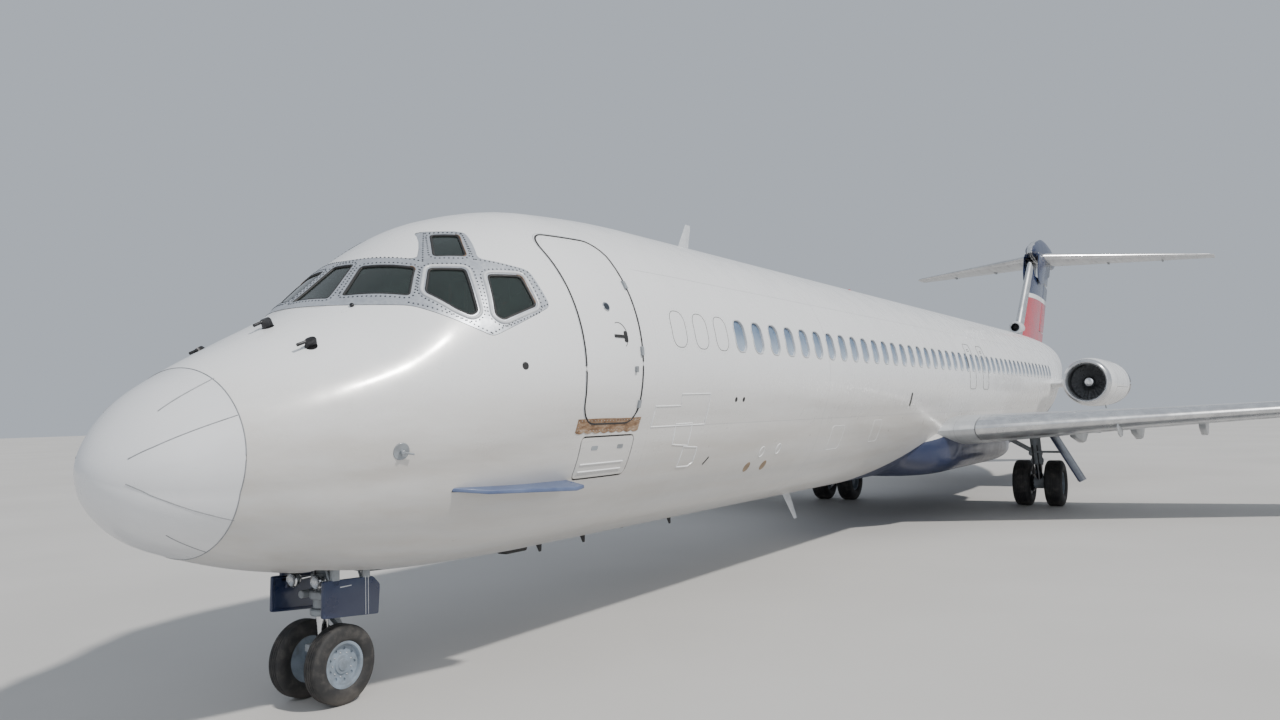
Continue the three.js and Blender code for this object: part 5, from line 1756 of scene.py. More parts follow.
def rudder_ring(z, fall):
    front = fin_edge(z)
    chord = fin_back(z) - front
    hinge = front + RUDDER["hinge"] * chord
    radius = chord * foil_half(RUDDER["hinge"], FIN["ratio"])
    side = [(hinge, radius), ((hinge + front + chord) / 2, radius * 0.55), (front + chord, 0.01)]
    ring = side + [(s, -y) for s, y in reversed(side)]
    ring += [(hinge + radius * cos(radians(a)), radius * sin(radians(a))) for a in range(255, 104, -15)]
    return [at(s, y, z - fall * max(0.0, s - hinge)) for s, y in ring]


def rudder_space():
    low, high = RUDDER["low"] - RUDDER["gap"], RUDDER["high"] + RUDDER["gap"]

    def edge(z):
        chord = fin_back(z) - fin_edge(z)
        return fin_edge(z) + chord * (RUDDER["hinge"] - foil_half(RUDDER["hinge"], FIN["ratio"])) - CLEAR

    return side_prism("space", [(edge(low), low), (edge(high), high), (42, high), (42, low)], -1, 1)


def fin_strip(back):
    """The space of the fin's leading edge."""
    low, high = 4.3, 8.0
    return side_prism("strip", [(fin_edge(z) + part * (fin_back(z) - fin_edge(z)), z)
                                for z, part in ((low, -0.2), (low, back), (high, back), (high, -0.2))], -1, 1)


def make_fin():
    """The fin, its bare leading edge and the ribbed rudder."""
    def whole(name):
        return cut(loft(name, [fin_ring(z) for z in (4.3, 5.4, 6.5, 7.7)]), side_prism("top", FIN_TOP, -1, 1))

    fin = cut(whole("fin_skin"), rudder_space(), fin_strip(EDGE_PART + 0.0015))
    placed(coloured(fin, "tail"), "airframe", "navy_paint", "fin")
    edge = cut(whole("fin_leading_edge"), fin_strip(EDGE_PART), operation="INTERSECT")
    placed(coloured(edge, "edge"), "airframe", "bare_skin")
    ends = [rudder_ring(RUDDER["low"], 0.0), rudder_ring(RUDDER["high"], RUDDER["fall"])]
    rudder = loft("rudder_skin", ends)
    ribs = []
    for i in range(1, 8):
        z = RUDDER["low"] + (RUDDER["high"] - RUDDER["low"] - 0.1) * i / 8
        chord = fin_back(z) - fin_edge(z)
        hinge = fin_edge(z) + RUDDER["hinge"] * chord
        radius = chord * foil_half(RUDDER["hinge"], FIN["ratio"])
        for s in (-1, 1):
            first = (hinge + 0.05, s * radius * 0.985, z)
            last = (fin_back(z) - 0.3, s * radius * 0.29, z)
            ribs.append(rod("rib", first, last, 0.004, 6))
    placed(coloured(rudder, "tail"), "rudder", "navy_paint", "rudder")
    dress("rudder_ribs", ribs, "navy", "rudder", "navy_paint")


make_fin()


def tail_ring(y):
    return foil_ring(TAILPLANE, y, 0)


def tail_edge_space(part):
    ys = [row[0] for row in TAILPLANE]
    back = [(row_at(TAILPLANE, y)[1] + part * row_at(TAILPLANE, y)[3], y) for y in ys]
    front = [(s - 1.5, y) for s, y in reversed(back)]
    outline = [(back[0][0], -0.1), *back, (back[-1][0], 5.7), (front[0][0], 5.7), *front]
    return plan_prism("strip", outline, 7, 9)


# The bullet's bare strip: where it ends and half its width
BARE_STRIP = {"back": 36.2, "half": 0.085}


def make_tailplane():
    """The tailplane with its bullet fairing and cheeks, its leading edges and the elevators."""
    rows = [row[0] for row in TAILPLANE]
    line = HingeLine(TAILPLANE, ELEVATOR)

    def whole(name):
        return loft(name, [tail_ring(y) for y in rows])

    half = cut(whole("half"), line.space(7, 9), tail_edge_space(EDGE_PART + 0.0015))
    columns = table_lines(BULLET, [row[0] for row in BULLET])
    rings = []
    for i in range(49):
        station = BULLET[0][0] + (BULLET[-1][0] - BULLET[0][0]) * (1 - cos(pi * i / 48)) / 2
        wide, low, high = (column(station) for column in columns)
        middle, rise = (low + high) / 2, (high - low) / 2
        rings.append([at(station, wide * cos(a), middle + rise * sin(a)) for a in turns(40)])
    bullet = coloured(loft("bullet", rings), "navy", "edge")
    for face in bullet.data.polygons:
        ahead = face.center.x > (MIDDLE - BARE_STRIP["back"]) * HALF
        face.material_index = 1 if ahead and abs(face.center.y) < BARE_STRIP["half"] * HALF else 0
    outline = [(34.55, 7.7), (34.28, 7.1), (34.3, 6.8), (34.72, 6.62), (36.55, 7.085), (36.95, 7.7)]
    cheeks = [side_prism("cheek", rounded(outline, 0.08, 5), s * 0.235, s * 0.262) for s in (1, -1)]
    cheeks = [coloured(bevelled(cheek, 0.006), "tail") for cheek in cheeks]
    shelf = coloured(block("shelf", 34.62, 36.9, -0.262, 0.262, 7.64, 7.8, 0.06), "navy")
    coloured(half, "wing")
    twin = coloured(finished(mirrored(half, "half_right")), "wing")
    whole_tail = joined("tailplane_skin", [half, twin, bullet, *cheeks, shelf])
    placed(whole_tail, "tailplane", "bare_skin", "tailplane")
    edge = cut(whole("edge"), tail_edge_space(EDGE_PART), operation="INTERSECT")
    both_sides("tailplane_leading_edge", coloured(edge, "edge"), "tailplane", "bare_skin")
    both_sides("elevator", coloured(line.solid("elevator", 0), "wing"), "elevator", "bare_skin", "elevator")


make_tailplane()


# Engine pods
POD_FRONT, POD_Y, POD_Z = 26.13, 2.8, 2.907
COWL = [(0, 0.545), (0.04, 0.59), (0.2, 0.63), (0.6, 0.67), (1.3, 0.685), (3.2, 0.685), (4.2, 0.665)]
DUCT = [(0, 0.545), (0.05, 0.505), (0.25, 0.475), (0.6, 0.5), (1.03, 0.515)]
LIP = 0.2
CORE = {"front": 1.035, "length": 3.14, "radius": 0.54}
FAN = {"front": 0.74, "depth": 0.1, "radius": 0.485, "hub": 0.17, "blades": 27}
BUCKET = {"front": 4.23, "back": 5.5, "front_radius": 0.66, "back_radius": 0.575, "wall": 0.035, "half": 0.03}
PYLON = {"front": 1.4, "chord": 2.7, "thick": 0.24, "inner": 1.2, "outer": 2.35}


def pod_lines():
    """Smooth lines of the cowl's outside and of its duct."""
    return [smooth_line([sqrt(row[0]) for row in table], [row[1] for row in table]) for table in (COWL, DUCT)]


def pod_lathe(name, profile, closed=True, sides=72):
    return lathe(name, profile, (POD_FRONT, POD_Y, POD_Z), "X", sides, closed)


def pod_spot(along, radius, angle):
    """A place about the pod's axis, a distance behind its front."""
    return POD_FRONT + along, POD_Y + radius * cos(angle), POD_Z + radius * sin(angle)


def sampled(line, first, last, count):
    steps = [sqrt(first) + (sqrt(last) - sqrt(first)) * i / count for i in range(count + 1)]
    return [(p * p, line(p)) for p in steps]


def make_pods():
    """Each pod's lip, cowl, inlet duct, tailpipe and closing ring."""
    outer, inner = pod_lines()
    lip = sampled(outer, 0.0, LIP, 12) + sampled(inner, LIP, 0.0, 12)[:-1]
    cowl = sampled(outer, LIP, 4.2, 26) + [(4.2, 0.548), (LIP, 0.548)]
    duct = sampled(inner, LIP, 1.03, 10) + [(1.03, 0.547), (LIP, 0.547)]
    pipe = [(4.14, 0.515), (5.0, 0.492), (5.63, 0.472), (5.65, 0.466), (5.65, 0.444), (5.63, 0.441),
            (4.14, 0.45)]
    both_sides("inlet_lip", coloured(pod_lathe("lip", lip), "edge"), "airframe", "bare_skin")
    both_sides("pod_cowl", coloured(pod_lathe("cowl", cowl), "white"), "airframe", "white_paint", "nacelle")
    both_sides("inlet_duct", coloured(pod_lathe("duct", duct), "duct"), "airframe", "bare_skin")
    both_sides("tailpipe", coloured(pod_lathe("pipe", pipe), "hot"), "airframe", "bare_skin")
    closing = pod_lathe("closing", [(4.13, 0.44), (4.13, 0.64), (4.19, 0.64), (4.19, 0.44)])
    both_sides("pod_closing_ring", coloured(closing, "dark"), "airframe", "engine_dark")


def make_cores():
    """The closed core, with vanes behind the fan and lobes at its exhaust."""
    front, back, radius = CORE["front"], CORE["front"] + CORE["length"], CORE["radius"]
    line = [(front, 0), (front + 0.02, radius), (back, radius), (back, 0.3), (back + 0.12, 0.26),
            (back + 0.3, 0.14), (back + 0.42, 0.0)]
    core = pod_lathe("core", line, False)
    vanes = []
    for i in range(19):
        vane = block("vane", POD_FRONT + 0.93, POD_FRONT + 1.03, POD_Y - 0.006, POD_Y + 0.006,
                     POD_Z + 0.12, POD_Z + 0.5, 0.002, 1)
        vanes.append(turned_about_pod(vane, 360 * i / 19))
    lobes = []
    for i in range(10):
        lobe = block("lobe", POD_FRONT + 4.19, POD_FRONT + 4.5, POD_Y - 0.012, POD_Y + 0.012,
                     POD_Z + 0.2, POD_Z + 0.44, 0.006, 2)
        lobes.append(turned_about_pod(lobe, 36 * i))
    whole = joined("core", [coloured(core, "dark")] + all_coloured(vanes, "edge")
                   + all_coloured(lobes, "dark"))
    both_sides("engine_core", whole, "airframe", "engine_dark", "engine")


def turned_about_pod(thing, degrees_round):
    centre = at(POD_FRONT, POD_Y, POD_Z)
    spin = Matrix.Rotation(radians(degrees_round), 4, "X")
    thing.data.transform(Matrix.Translation(centre) @ spin @ Matrix.Translation(-centre))
    return thing


def fan_blade():
    """One twisted blade, from the hub to the tip."""
    rings = []
    for i in range(7):
        t = i / 6
        radius = FAN["hub"] - 0.02 + (FAN["radius"] - FAN["hub"] + 0.02) * t
        chord = 0.11 + 0.04 * t
        turn = radians(28 + 34 * t)
        thick = 0.009 - 0.004 * t
        ring = []
        for along, across in ((-0.5, 0), (-0.2, 1), (0.2, 0.8), (0.5, 0), (0.2, -0.4), (-0.2, -0.5)):
            u, v = along * chord, across * thick
            station = POD_FRONT + FAN["front"] + FAN["depth"] / 2 + u * cos(turn) - v * sin(turn)
            ring.append(at(station, POD_Y + u * sin(turn) + v * cos(turn), POD_Z + radius))
        rings.append(ring)
    return loft("blade", rings, 50)


def make_fans():
    """The fan's spinner and blades."""
    front, hub = FAN["front"], FAN["hub"]
    nose = [(front - 0.2 + 0.2 * t * t, hub * sqrt(1 - (1 - t) ** 2.2)) for t in [i / 14 for i in range(15)]]
    spinner = pod_lathe("spinner", nose + [(front + 0.15, hub), (front + 0.15, 0)], False, 48)
    blades = [turned_about_pod(fan_blade(), 360 * i / FAN["blades"]) for i in range(FAN["blades"])]
    whole = joined("fan", [coloured(spinner, "bright")] + all_coloured(blades, "blade"))
    both_sides("fan_wheel", whole, "fan", "fan_metal", "fan")


def make_buckets():
    """The reverser's two buckets, with three bright bands on each."""
    front, back, wall, half = BUCKET["front"], BUCKET["back"], BUCKET["wall"], BUCKET["half"]
    wide, narrow = BUCKET["front_radius"], BUCKET["back_radius"]
    shell = [(front, wide), (back, narrow), (back, narrow - wall), (front, wide - wall - 0.02)]
    for name, side, low, high in (("upper", 1, half, 2.0), ("lower", -1, -2.0, -half)):
        bucket = pod_lathe("bucket", shell)
        keep = block("keep", 25, 35, 1, 5, POD_Z + low, POD_Z + high)
        cut(bucket, keep, operation="INTERSECT")
        bevelled(bucket, 0.006, 2)
        bands = []
        for along in (4.36, 4.86, 5.36):
            radius = wide + (narrow - wide) * (along - front) / (back - front) + 0.002
            arc = [pod_spot(along, radius, side * radians(a)) for a in range(6, 175, 7)]
            bands.append(coloured(sweep("band", arc, 0.009, 8), "bright"))
        whole = joined("bucket", [coloured(bucket, "hot"), *bands])
        both_sides(f"reverser_{name}", whole, f"reverser_{name}", "bare_skin", f"reverser_{name}")


def make_pylons():
    """A short stub between each pod and the fuselage."""
    ratio = PYLON["thick"] / PYLON["chord"]
    rings = []
    for y in (PYLON["inner"], PYLON["outer"]):
        def edge(part, side):
            half = side * PYLON["chord"] * blunt_half(part, ratio)
            return at(POD_FRONT + PYLON["front"] + part * PYLON["chord"], y, POD_Z + half)
        rings.append(both_faces(edge))
    both_sides("pylon", coloured(loft("pylon", rings), "white"), "airframe", "white_paint", "pylon")


def make_pod_fittings():
    """Panel seams, latches, a drain and rows of rivets on each pod."""
    outer, _ = pod_lines()
    seams, latches, spots = [], [], []
    for along in (1.05, 2.35, 3.6):
        radius = outer(sqrt(along)) + 0.0005
        low, high, floor = along - 0.004, along + 0.004, radius - 0.004
        seams.append(pod_lathe("seam", [(low, floor), (low, radius), (high, radius), (high, floor)]))
    for angle in (-78, 78, -150, 150):
        across, down = sin(radians(angle)), cos(radians(angle))
        path = []
        for i in range(15):
            along = 1.05 + 2.55 * i / 14
            radius = outer(sqrt(along)) - 0.002
            path.append((POD_FRONT + along, POD_Y + radius * across, POD_Z - radius * down))
        seams.append(sweep("seam", path, 0.005, 6))
    for along in (1.3, 1.7, 2.1, 2.6, 3.0, 3.4):
        middle, low = POD_FRONT + along, POD_Z - outer(sqrt(along))
        latches.append(block("latch", middle - 0.05, middle + 0.05, POD_Y - 0.02, POD_Y + 0.02,
                             low - 0.006, low + 0.02, 0.006, 2))
    latches.append(rod("drain", (POD_FRONT + 2.9, POD_Y + 0.12, POD_Z - 0.66),
                       (POD_FRONT + 3.0, POD_Y + 0.12, POD_Z - 0.76), 0.016, 12))
    for along in (0.215, 0.25, 4.1):
        radius = outer(sqrt(along)) + 0.0005
        for angle in turns(90):
            turn = turned_to(Vector((0, cos(angle), sin(angle))), Vector((1, 0, 0)))
            spots.append((at(*pod_spot(along, radius, angle)), turn))
    rivets = scattered("rivets", dome(*HEADS["pod"]), spots, "rivet")
    both_sides("pod_seams", coloured(joined("seams", seams), "rivet"), "airframe", "engine_dark")
    both_sides("pod_latches", coloured(joined("latches", latches), "gear"), "airframe", "gear_grey")
    both_sides("pod_rivets", rivets, "airframe", "window_frame")


make_pods()
make_cores()
make_fans()
make_buckets()
make_pylons()
make_pod_fittings()


# Wheels and tyres
NOSE_GEAR = {"station": 2.295, "tyre": 0.33, "width": 0.165, "half": 0.22, "bead": 0.19, "axle": 0.04}
MAIN_GEAR = {"station": 20.85, "y": 2.46, "tyre": 0.52, "width": 0.39, "half": 0.34, "bead": 0.26,
             "axle": 0.07}
MAIN_LEG = {"station": 20.36, "top": 1.78, "radius": 0.115}
NOSE_DOOR = [(2.03, 1.06), (2.02, 0.76), (2.62, 0.7), (2.64, 0.95), (2.56, 1.03)]
NOSE_LEG = {"radius": 0.075, "foot": 0.78}
MAIN_DOOR = {"top": (2.86, 1.62), "bottom": (3.42, 0.62), "thick": 0.035, "front": 19.95, "back": 20.85}
# A tyre's wall from its bead: out as a part of half its width, up as a part of its rise
WALL = [(0.64, 0.0), (0.74, 0.04), (0.87, 0.13), (0.96, 0.26), (1.0, 0.42), (0.985, 0.57), (0.94, 0.72),
        (0.87, 0.84), (0.79, 0.925), (0.7, 0.975), (0.62, 0.993)]


def tyre(gear, y, grooves):
    """A tyre with rounded walls and grooves round its tread."""
    w, rise = gear["width"] / 2, gear["tyre"] - gear["bead"]
    wall = [(a * w, gear["bead"] + b * rise) for a, b in WALL]
    tread = []
    for i in range(grooves):
        middle = w * 0.84 * ((i + 0.5) / grooves - 0.5) * 1.08
        half, deep = w * 0.035, 0.012
        tread += [(middle - half, gear["tyre"]), (middle - half * 0.8, gear["tyre"] - deep),
                  (middle + half * 0.8, gear["tyre"] - deep), (middle + half, gear["tyre"])]
    line = [(-a, r) for a, r in wall] + [(-w * 0.5, gear["tyre"]), *tread, (w * 0.5, gear["tyre"])]
    line += wall[::-1] + [(0.5 * w, gear["bead"] - 0.004), (-0.5 * w, gear["bead"] - 0.004)]
    ring = lathe("tyre", line, (gear["station"], y, gear["tyre"]), "Y", 72, True, 28)
    return coloured(ring, "rubber")


def wheel_face(gear):
    w, rim, half, axle = gear["width"] / 2, gear["bead"] - 0.003, gear["half"], gear["axle"]
    return [
        (half - 0.76 * w, axle), (half - 0.76 * w, rim - 0.03), (half - 0.74 * w, rim + 0.012),
        (half - 0.67 * w, rim + 0.012), (half - 0.64 * w, rim - 0.002), (half + 0.64 * w, rim - 0.002),
        (half + 0.66 * w, rim + 0.012),
        (half + 0.73 * w, rim + 0.013), (half + 0.75 * w, rim + 0.002), (half + 0.72 * w, rim - 0.014),
        (half + 0.6 * w, rim - 0.022), (half + 0.36 * w, rim * 0.86), (half + 0.26 * w, rim * 0.74),
        (half + 0.25 * w, rim * 0.56), (half + 0.32 * w, axle * 2.1), (half + 0.44 * w, axle * 1.9),
        (half + 0.47 * w, axle * 1.35), (half + 0.56 * w, axle * 1.2), (half + 0.6 * w, axle * 0.9),
        (half + 0.6 * w, 0),
    ]


def wheels(gear, y, bolts):
    """Two wheels on one axle, with pockets, bolts and a cap on each face."""
    face = wheel_face(gear)
    line = [(-a, r) for a, r in reversed(face)] + face
    centre = (gear["station"], y, gear["tyre"])
    pair = lathe("wheels", line, centre, "Y", 64, False, 30)
    w, rim, half = gear["width"] / 2, gear["bead"], gear["half"]
    spaces, studs = [], []
    for side in (-1, 1):
        for k in range(bolts):
            angle = 2 * pi * k / bolts
            for radius, turn in ((rim * 0.69, angle), (rim * 0.53, angle + pi / bolts)):
                s = gear["station"] + radius * cos(turn)
                z = gear["tyre"] + radius * sin(turn)
                near, head, far = (y + side * (half + part * w) for part in (0.16, 0.33, 0.9))
                if radius > rim * 0.6:
                    spaces.append(rod("pocket", (s, near, z), (s, far, z), rim * 0.075, 14))
                else:
                    studs.append(rod("bolt", (s, near, z), (s, head, z), rim * 0.04, 6, bevel=0.002))
    cut(pair, *spaces)
    coloured(pair, "wheel")
    return joined("wheels", [pair] + all_coloured(studs, "bright"))


def make_wheels():
    """Wheels and tyres of the nose gear and of both main gears."""
    placed(wheels(NOSE_GEAR, 0, 9), "nose_wheels", "gear_grey", "nose_wheels")
    for name, side in (("left", 1), ("right", -1)):
        ring = tyre(NOSE_GEAR, side * NOSE_GEAR["half"], 3)
        ring.name = f"nose_tyre_{name}_rubber"
        placed(ring, "nose_wheels", "tyre", f"nose_tyre_{name}")
    both_sides("main_wheel", wheels(MAIN_GEAR, MAIN_GEAR["y"], 10), "main_wheels", "gear_grey", "main_wheels")
    for place, offset in (("inner", -MAIN_GEAR["half"]), ("outer", MAIN_GEAR["half"])):
        ring = tyre(MAIN_GEAR, MAIN_GEAR["y"] + offset, 5)
        twin = finished(mirrored(ring, f"main_tyre_right_{place}_rubber"))
        coloured(twin, "rubber")
        ring.name = f"main_tyre_left_{place}_rubber"
        placed(ring, "main_wheels_left", "tyre", f"main_tyre_left_{place}")
        placed(twin, "main_wheels_right", "tyre", f"main_tyre_right_{place}")


make_wheels()


# Legs and doors of the gear
LINK_TAPER = 0.6


def link(name, a, b, wide, thick):
    """A flat tapered torque link between two places on the middle line, each station and height."""
    ends = [Vector(a), Vector(b)]
    way = (ends[1] - ends[0]).normalized()
    side = Vector((-way.y, way.x))
    first, last = side * wide, side * wide * LINK_TAPER
    outline = [ends[0] + first, ends[1] + last, ends[1] - last, ends[0] - first]
    plates = []
    for y in (-1, 1):
        plates.append(side_prism(name, [tuple(p) for p in outline], y * thick, y * thick * 2.4))
    pins = [rod("pin", (p.x, -thick * 3, p.y), (p.x, thick * 3, p.y), wide * 0.55, 14, bevel=0.003)
            for p in ends]
    return joined(name, [bevelled(p, 0.003) for p in plates] + pins)


def moved_to(thing, station, y):
    thing.data.transform(Matrix.Translation(at(station, y, 0) - at(0, 0, 0)))
    return thing


def make_nose_leg():
    """The fixed nose leg with its steering cylinders, lamps and hoses."""
    s, foot = NOSE_GEAR["station"], NOSE_LEG["foot"]
    parts = [
        rod("cylinder", (s, 0, 1.495), (s, 0, foot), NOSE_LEG["radius"], 36, bevel=0.008),
        rod("collar", (s, 0, 0.93), (s, 0, 0.86), 0.105, 36, bevel=0.01),
        rod("collar", (s, 0, 1.08), (s, 0, 1.04), 0.09, 36, bevel=0.008),
        rod("brace", (s, 0, 1.06), (s - 0.25, 0, 1.42), 0.03, 20),
        rod("trunnion", (s, -0.3, 1.2), (s, 0.3, 1.2), 0.04, 24, bevel=0.006),
        rod("yoke", (s, -0.1, 1.2), (s, 0.1, 1.2), 0.085, 28, bevel=0.01),
    ]
    for y in (-0.115, 0.115):
        parts.append(rod("steering_cylinder", (s - 0.13, y, 0.9), (s + 0.1, y, 0.9), 0.034, 20, bevel=0.005))
        parts.append(rod("steering_rod", (s + 0.09, y, 0.9), (s + 0.17, y * 0.9, 0.9), 0.015, 14))
        parts.append(rod("lug", (s, y * 0.55, 0.9), (s, y, 0.9), 0.024, 16))
    leg = coloured(joined("nose_leg_parts", parts), "gear")
    placed(leg, "airframe", "gear_grey", "nose_leg")
    lamps, glasses = [], []
    for y in (-0.15, 0.15):
        shell = [(0.0, 0.058), (0.012, 0.066), (0.05, 0.06), (0.09, 0.03), (0.1, 0.0)]
        lamps.append(lathe("lamp", [(0.012, 0.0), (0.012, 0.052)] + shell, (s - 0.2, y, 1.03), "X", 32))
        lamps.append(rod("lamp_arm", (s - 0.11, y, 1.03), (s - 0.02, y * 0.4, 1.05), 0.014, 12))
        glass = [(-0.008, 0.0), (-0.006, 0.03), (0.004, 0.054), (0.014, 0.054), (0.014, 0.0)]
        glasses.append(lathe("glass", glass, (s - 0.2, y, 1.03), "X", 32))
    dress("taxi_lamps", lamps, "bright", "airframe", "bare_skin")
    dress("taxi_lamp_glass", glasses, "lamp", "airframe", "bare_skin")
    hoses = [sweep("hose", path, radius, 8) for radius, path in (
        (0.009, [(s - 0.09, 0.02, 1.4), (s - 0.1, 0.03, 1.2), (s - 0.09, 0.03, 1.0),
                 (s - 0.115, 0.04, 0.94)]),
        (0.008, [(s + 0.08, 0.03, 1.4), (s + 0.09, 0.03, 1.1), (s + 0.085, 0.02, 0.97), (s + 0.08, 0, 0.8)]),
        (0.006, [(s - 0.08, -0.03, 1.35), (s - 0.1, -0.05, 1.1), (s - 0.19, -0.13, 1.08)]),
    )]
    dress("nose_gear_hoses", hoses, "hose", "airframe", "engine_dark")


def make_nose_fork():
    """The part of the nose leg that steers: piston, axle case, links and tow pin."""
    s, foot, r = NOSE_GEAR["station"], NOSE_LEG["foot"], NOSE_GEAR["tyre"]
    piston = coloured(rod("piston", (s, 0, foot - 0.004), (s, 0, r + 0.02), 0.052, 32), "bright")
    painted = [
        rod("collar", (s, 0, foot - 0.004), (s, 0, foot - 0.06), 0.1, 36, bevel=0.01),
        rod("axle_case", (s, -0.075, r), (s, 0.075, r), NOSE_GEAR["axle"] + 0.045, 32, bevel=0.008),
        rod("foot", (s, 0, r + 0.12), (s, 0, r + 0.02), 0.06, 28, 0.075),
        link("upper_link", (s + 0.08, 0.735), (s + 0.18, 0.6), 0.03, 0.016),
        link("lower_link", (s + 0.06, 0.39), (s + 0.18, 0.6), 0.032, 0.012),
        bevelled(block("tow_block", s - 0.16, s - 0.03, -0.03, 0.03, 0.44, 0.5), 0.008),
    ]
    pin = rod("tow_pin", (s - 0.13, -0.05, 0.47), (s - 0.13, 0.05, 0.47), 0.014, 16, bevel=0.003)
    fork = joined("nose_fork_parts", [piston, *all_coloured(painted, "gear"), coloured(pin, "bright")])
    placed(fork, "nose_fork", "gear_grey", "nose_fork")


def make_nose_doors():
    """Navy doors with two thin light lines down the port one, and their hinge arms."""
    way = NOSE_WELL["half"] - 0.035
    door = bevelled(side_prism("door", rounded(NOSE_DOOR, 0.02, 4), way, way + 0.03), 0.005)
    rim = [(s, way - 0.002, z) for s, z in grown(NOSE_DOOR, -0.02)]
    grey = [sweep("edge", rim, 0.007, 8, True)]
    for front, back in ((2.12, 2.2), (2.45, 2.53)):
        grey.append(block("arm", front, back, way, way + 0.03, 1.0, 1.25, 0.006))
        stay = front + 0.04
        grey.append(rod("stay", (stay, way - 0.01, 0.95), (stay, way - 0.14, 1.24), 0.012, 12))
    whole = joined("nose_door", [coloured(door, "navy"), *all_coloured(grey, "gear")])
    both_sides("nose_gear_door_skin", whole, "airframe", "navy_paint", "nose_gear_door")
    lines = []
    face = (way + 0.029, way + 0.0312)
    for station in (2.475, 2.505):
        low = 0.7 + 0.06 * (2.62 - station) / 0.6 + 0.006
        lines.append(block("line", station - 0.003, station + 0.003, *face, low, 1.04, 0.0, 1))
    lines.append(block("line", 2.2, 2.32, *face, 0.985, 0.993, 0.0, 1))
    dress("nose_door_lines", lines, "rim", "airframe", "white_paint")


def leg_point(t):
    """A place on the main leg's line, 0 at its top and 1 at its axle."""
    first, top = MAIN_LEG["station"], MAIN_LEG["top"]
    return first + (MAIN_GEAR["station"] - first) * t, MAIN_GEAR["y"], top + (MAIN_GEAR["tyre"] - top) * t


def make_main_legs():
    """The main legs with their braces, torque links, brakes and hoses."""
    station, y, low = MAIN_GEAR["station"], MAIN_GEAR["y"], MAIN_GEAR["tyre"]
    first, top, case = MAIN_LEG["station"], MAIN_LEG["top"], MAIN_GEAR["axle"] + 0.06
    brace, _, brace_z = leg_point(0.45)
    knee = (station + 0.16, 0.95)
    foot, _, foot_z = leg_point(0.6)
    painted = [
        rod("cylinder", leg_point(0.0), leg_point(0.62), MAIN_LEG["radius"], 36, bevel=0.008),
        rod("collar", leg_point(0.55), leg_point(0.62), 0.135, 36, bevel=0.012),
        rod("collar", leg_point(0.42), leg_point(0.48), 0.13, 36, bevel=0.012),
        rod("case", (station, y - 0.12, low), (station, y + 0.12, low), case, 32, bevel=0.01),
        rod("brace", leg_point(0.45), (first - 0.05, y - 0.72, top - 0.12), 0.05, 20),
        rod("eye", (brace - 0.1, y - 0.1, brace_z), (brace + 0.1, y - 0.1, brace_z), 0.06, 20, bevel=0.008),
        moved_to(link("upper_link", (foot + 0.1, foot_z), knee, 0.05, 0.02), 0, y),
        moved_to(link("lower_link", (station + 0.04, low + 0.11), knee, 0.05, 0.016), 0, y),
    ]
    brakes = []
    for side in (-1, 1):
        cap, disc, cap_foot, disc_end = (y + side * away for away in (0.105, 0.125, 0.13, 0.19))
        brakes.append(rod("brake", (station, disc, low), (station, disc_end, low), 0.2, 40, bevel=0.015))
        for angle in turns(6):
            s, z = station + 0.15 * cos(angle), low + 0.15 * sin(angle)
            brakes.append(rod("piston_cap", (s, cap, z), (s, cap_foot, z), 0.03, 14, bevel=0.004))
    piston = coloured(rod("piston", leg_point(0.6), (station, y, low), 0.07, 32), "bright")
    hoses = []
    for side in (-1, 1):
        path = []
        for t, ahead, away in ((0.3, 0.14, 0.05), (0.6, 0.16, 0.05), (0.8, 0.17, 0.09)):
            s, _, z = leg_point(t)
            path.append((s - ahead, y + side * away, z))
        path.append((station - 0.14, y + side * 0.13, low + 0.06))
        hoses.append(sweep("brake_hose", path, 0.012, 8))
    leg = joined("main_leg_parts", [piston, *all_coloured(painted, "gear"), *all_coloured(brakes, "dark"),
                                    *all_coloured(hoses, "hose")])
    both_sides("main_leg_parts", leg, "airframe", "gear_grey", "main_leg")


def make_main_doors():
    """Flat leaning doors with ribs on their inner faces and a stay to the leg."""
    (y1, z1), (y2, z2) = MAIN_DOOR["top"], MAIN_DOOR["bottom"]
    thick, front, back = MAIN_DOOR["thick"], MAIN_DOOR["front"], MAIN_DOOR["back"]
    rings = []
    for s in (front, back):
        rings.append([at(s, y1, z1), at(s, y2, z2), at(s, y2 + thick, z2), at(s, y1 + thick, z1)])
    door = coloured(bevelled(loft("door", rings, 30), 0.006), "white")
    ribs = []
    for t in (0.04, 0.28, 0.52, 0.76, 0.96):
        y, z = y1 + (y2 - y1) * t, z1 + (z2 - z1) * t
        ribs.append(rod("rib", (front + 0.03, y - 0.004, z), (back - 0.03, y - 0.004, z), 0.014, 8))
    for s in (front + 0.03, 20.25, 20.55, back - 0.03):
        ribs.append(rod("rib", (s, y1 - 0.004, z1), (s, y2 - 0.004, z2 + 0.02), 0.014, 8))
    ribs.append(rod("stay", (20.42, 2.5, 1.25), (20.42, 3.08, 1.25), 0.025, 16))
    ribs.append(rod("stay_eye", (20.36, 3.055, 1.25), (20.48, 3.055, 1.25), 0.04, 16, bevel=0.005))
    whole = joined("main_door", [door] + all_coloured(ribs, "gear"))
    both_sides("main_gear_door_skin", whole, "airframe", "gear_grey", "main_gear_door")


make_nose_leg()
make_nose_fork()
make_nose_doors()
make_main_legs()
make_main_doors()


# Strakes, probes and aerials
STRAKE_TILT = {"from": 1.34, "slope": 0.2}


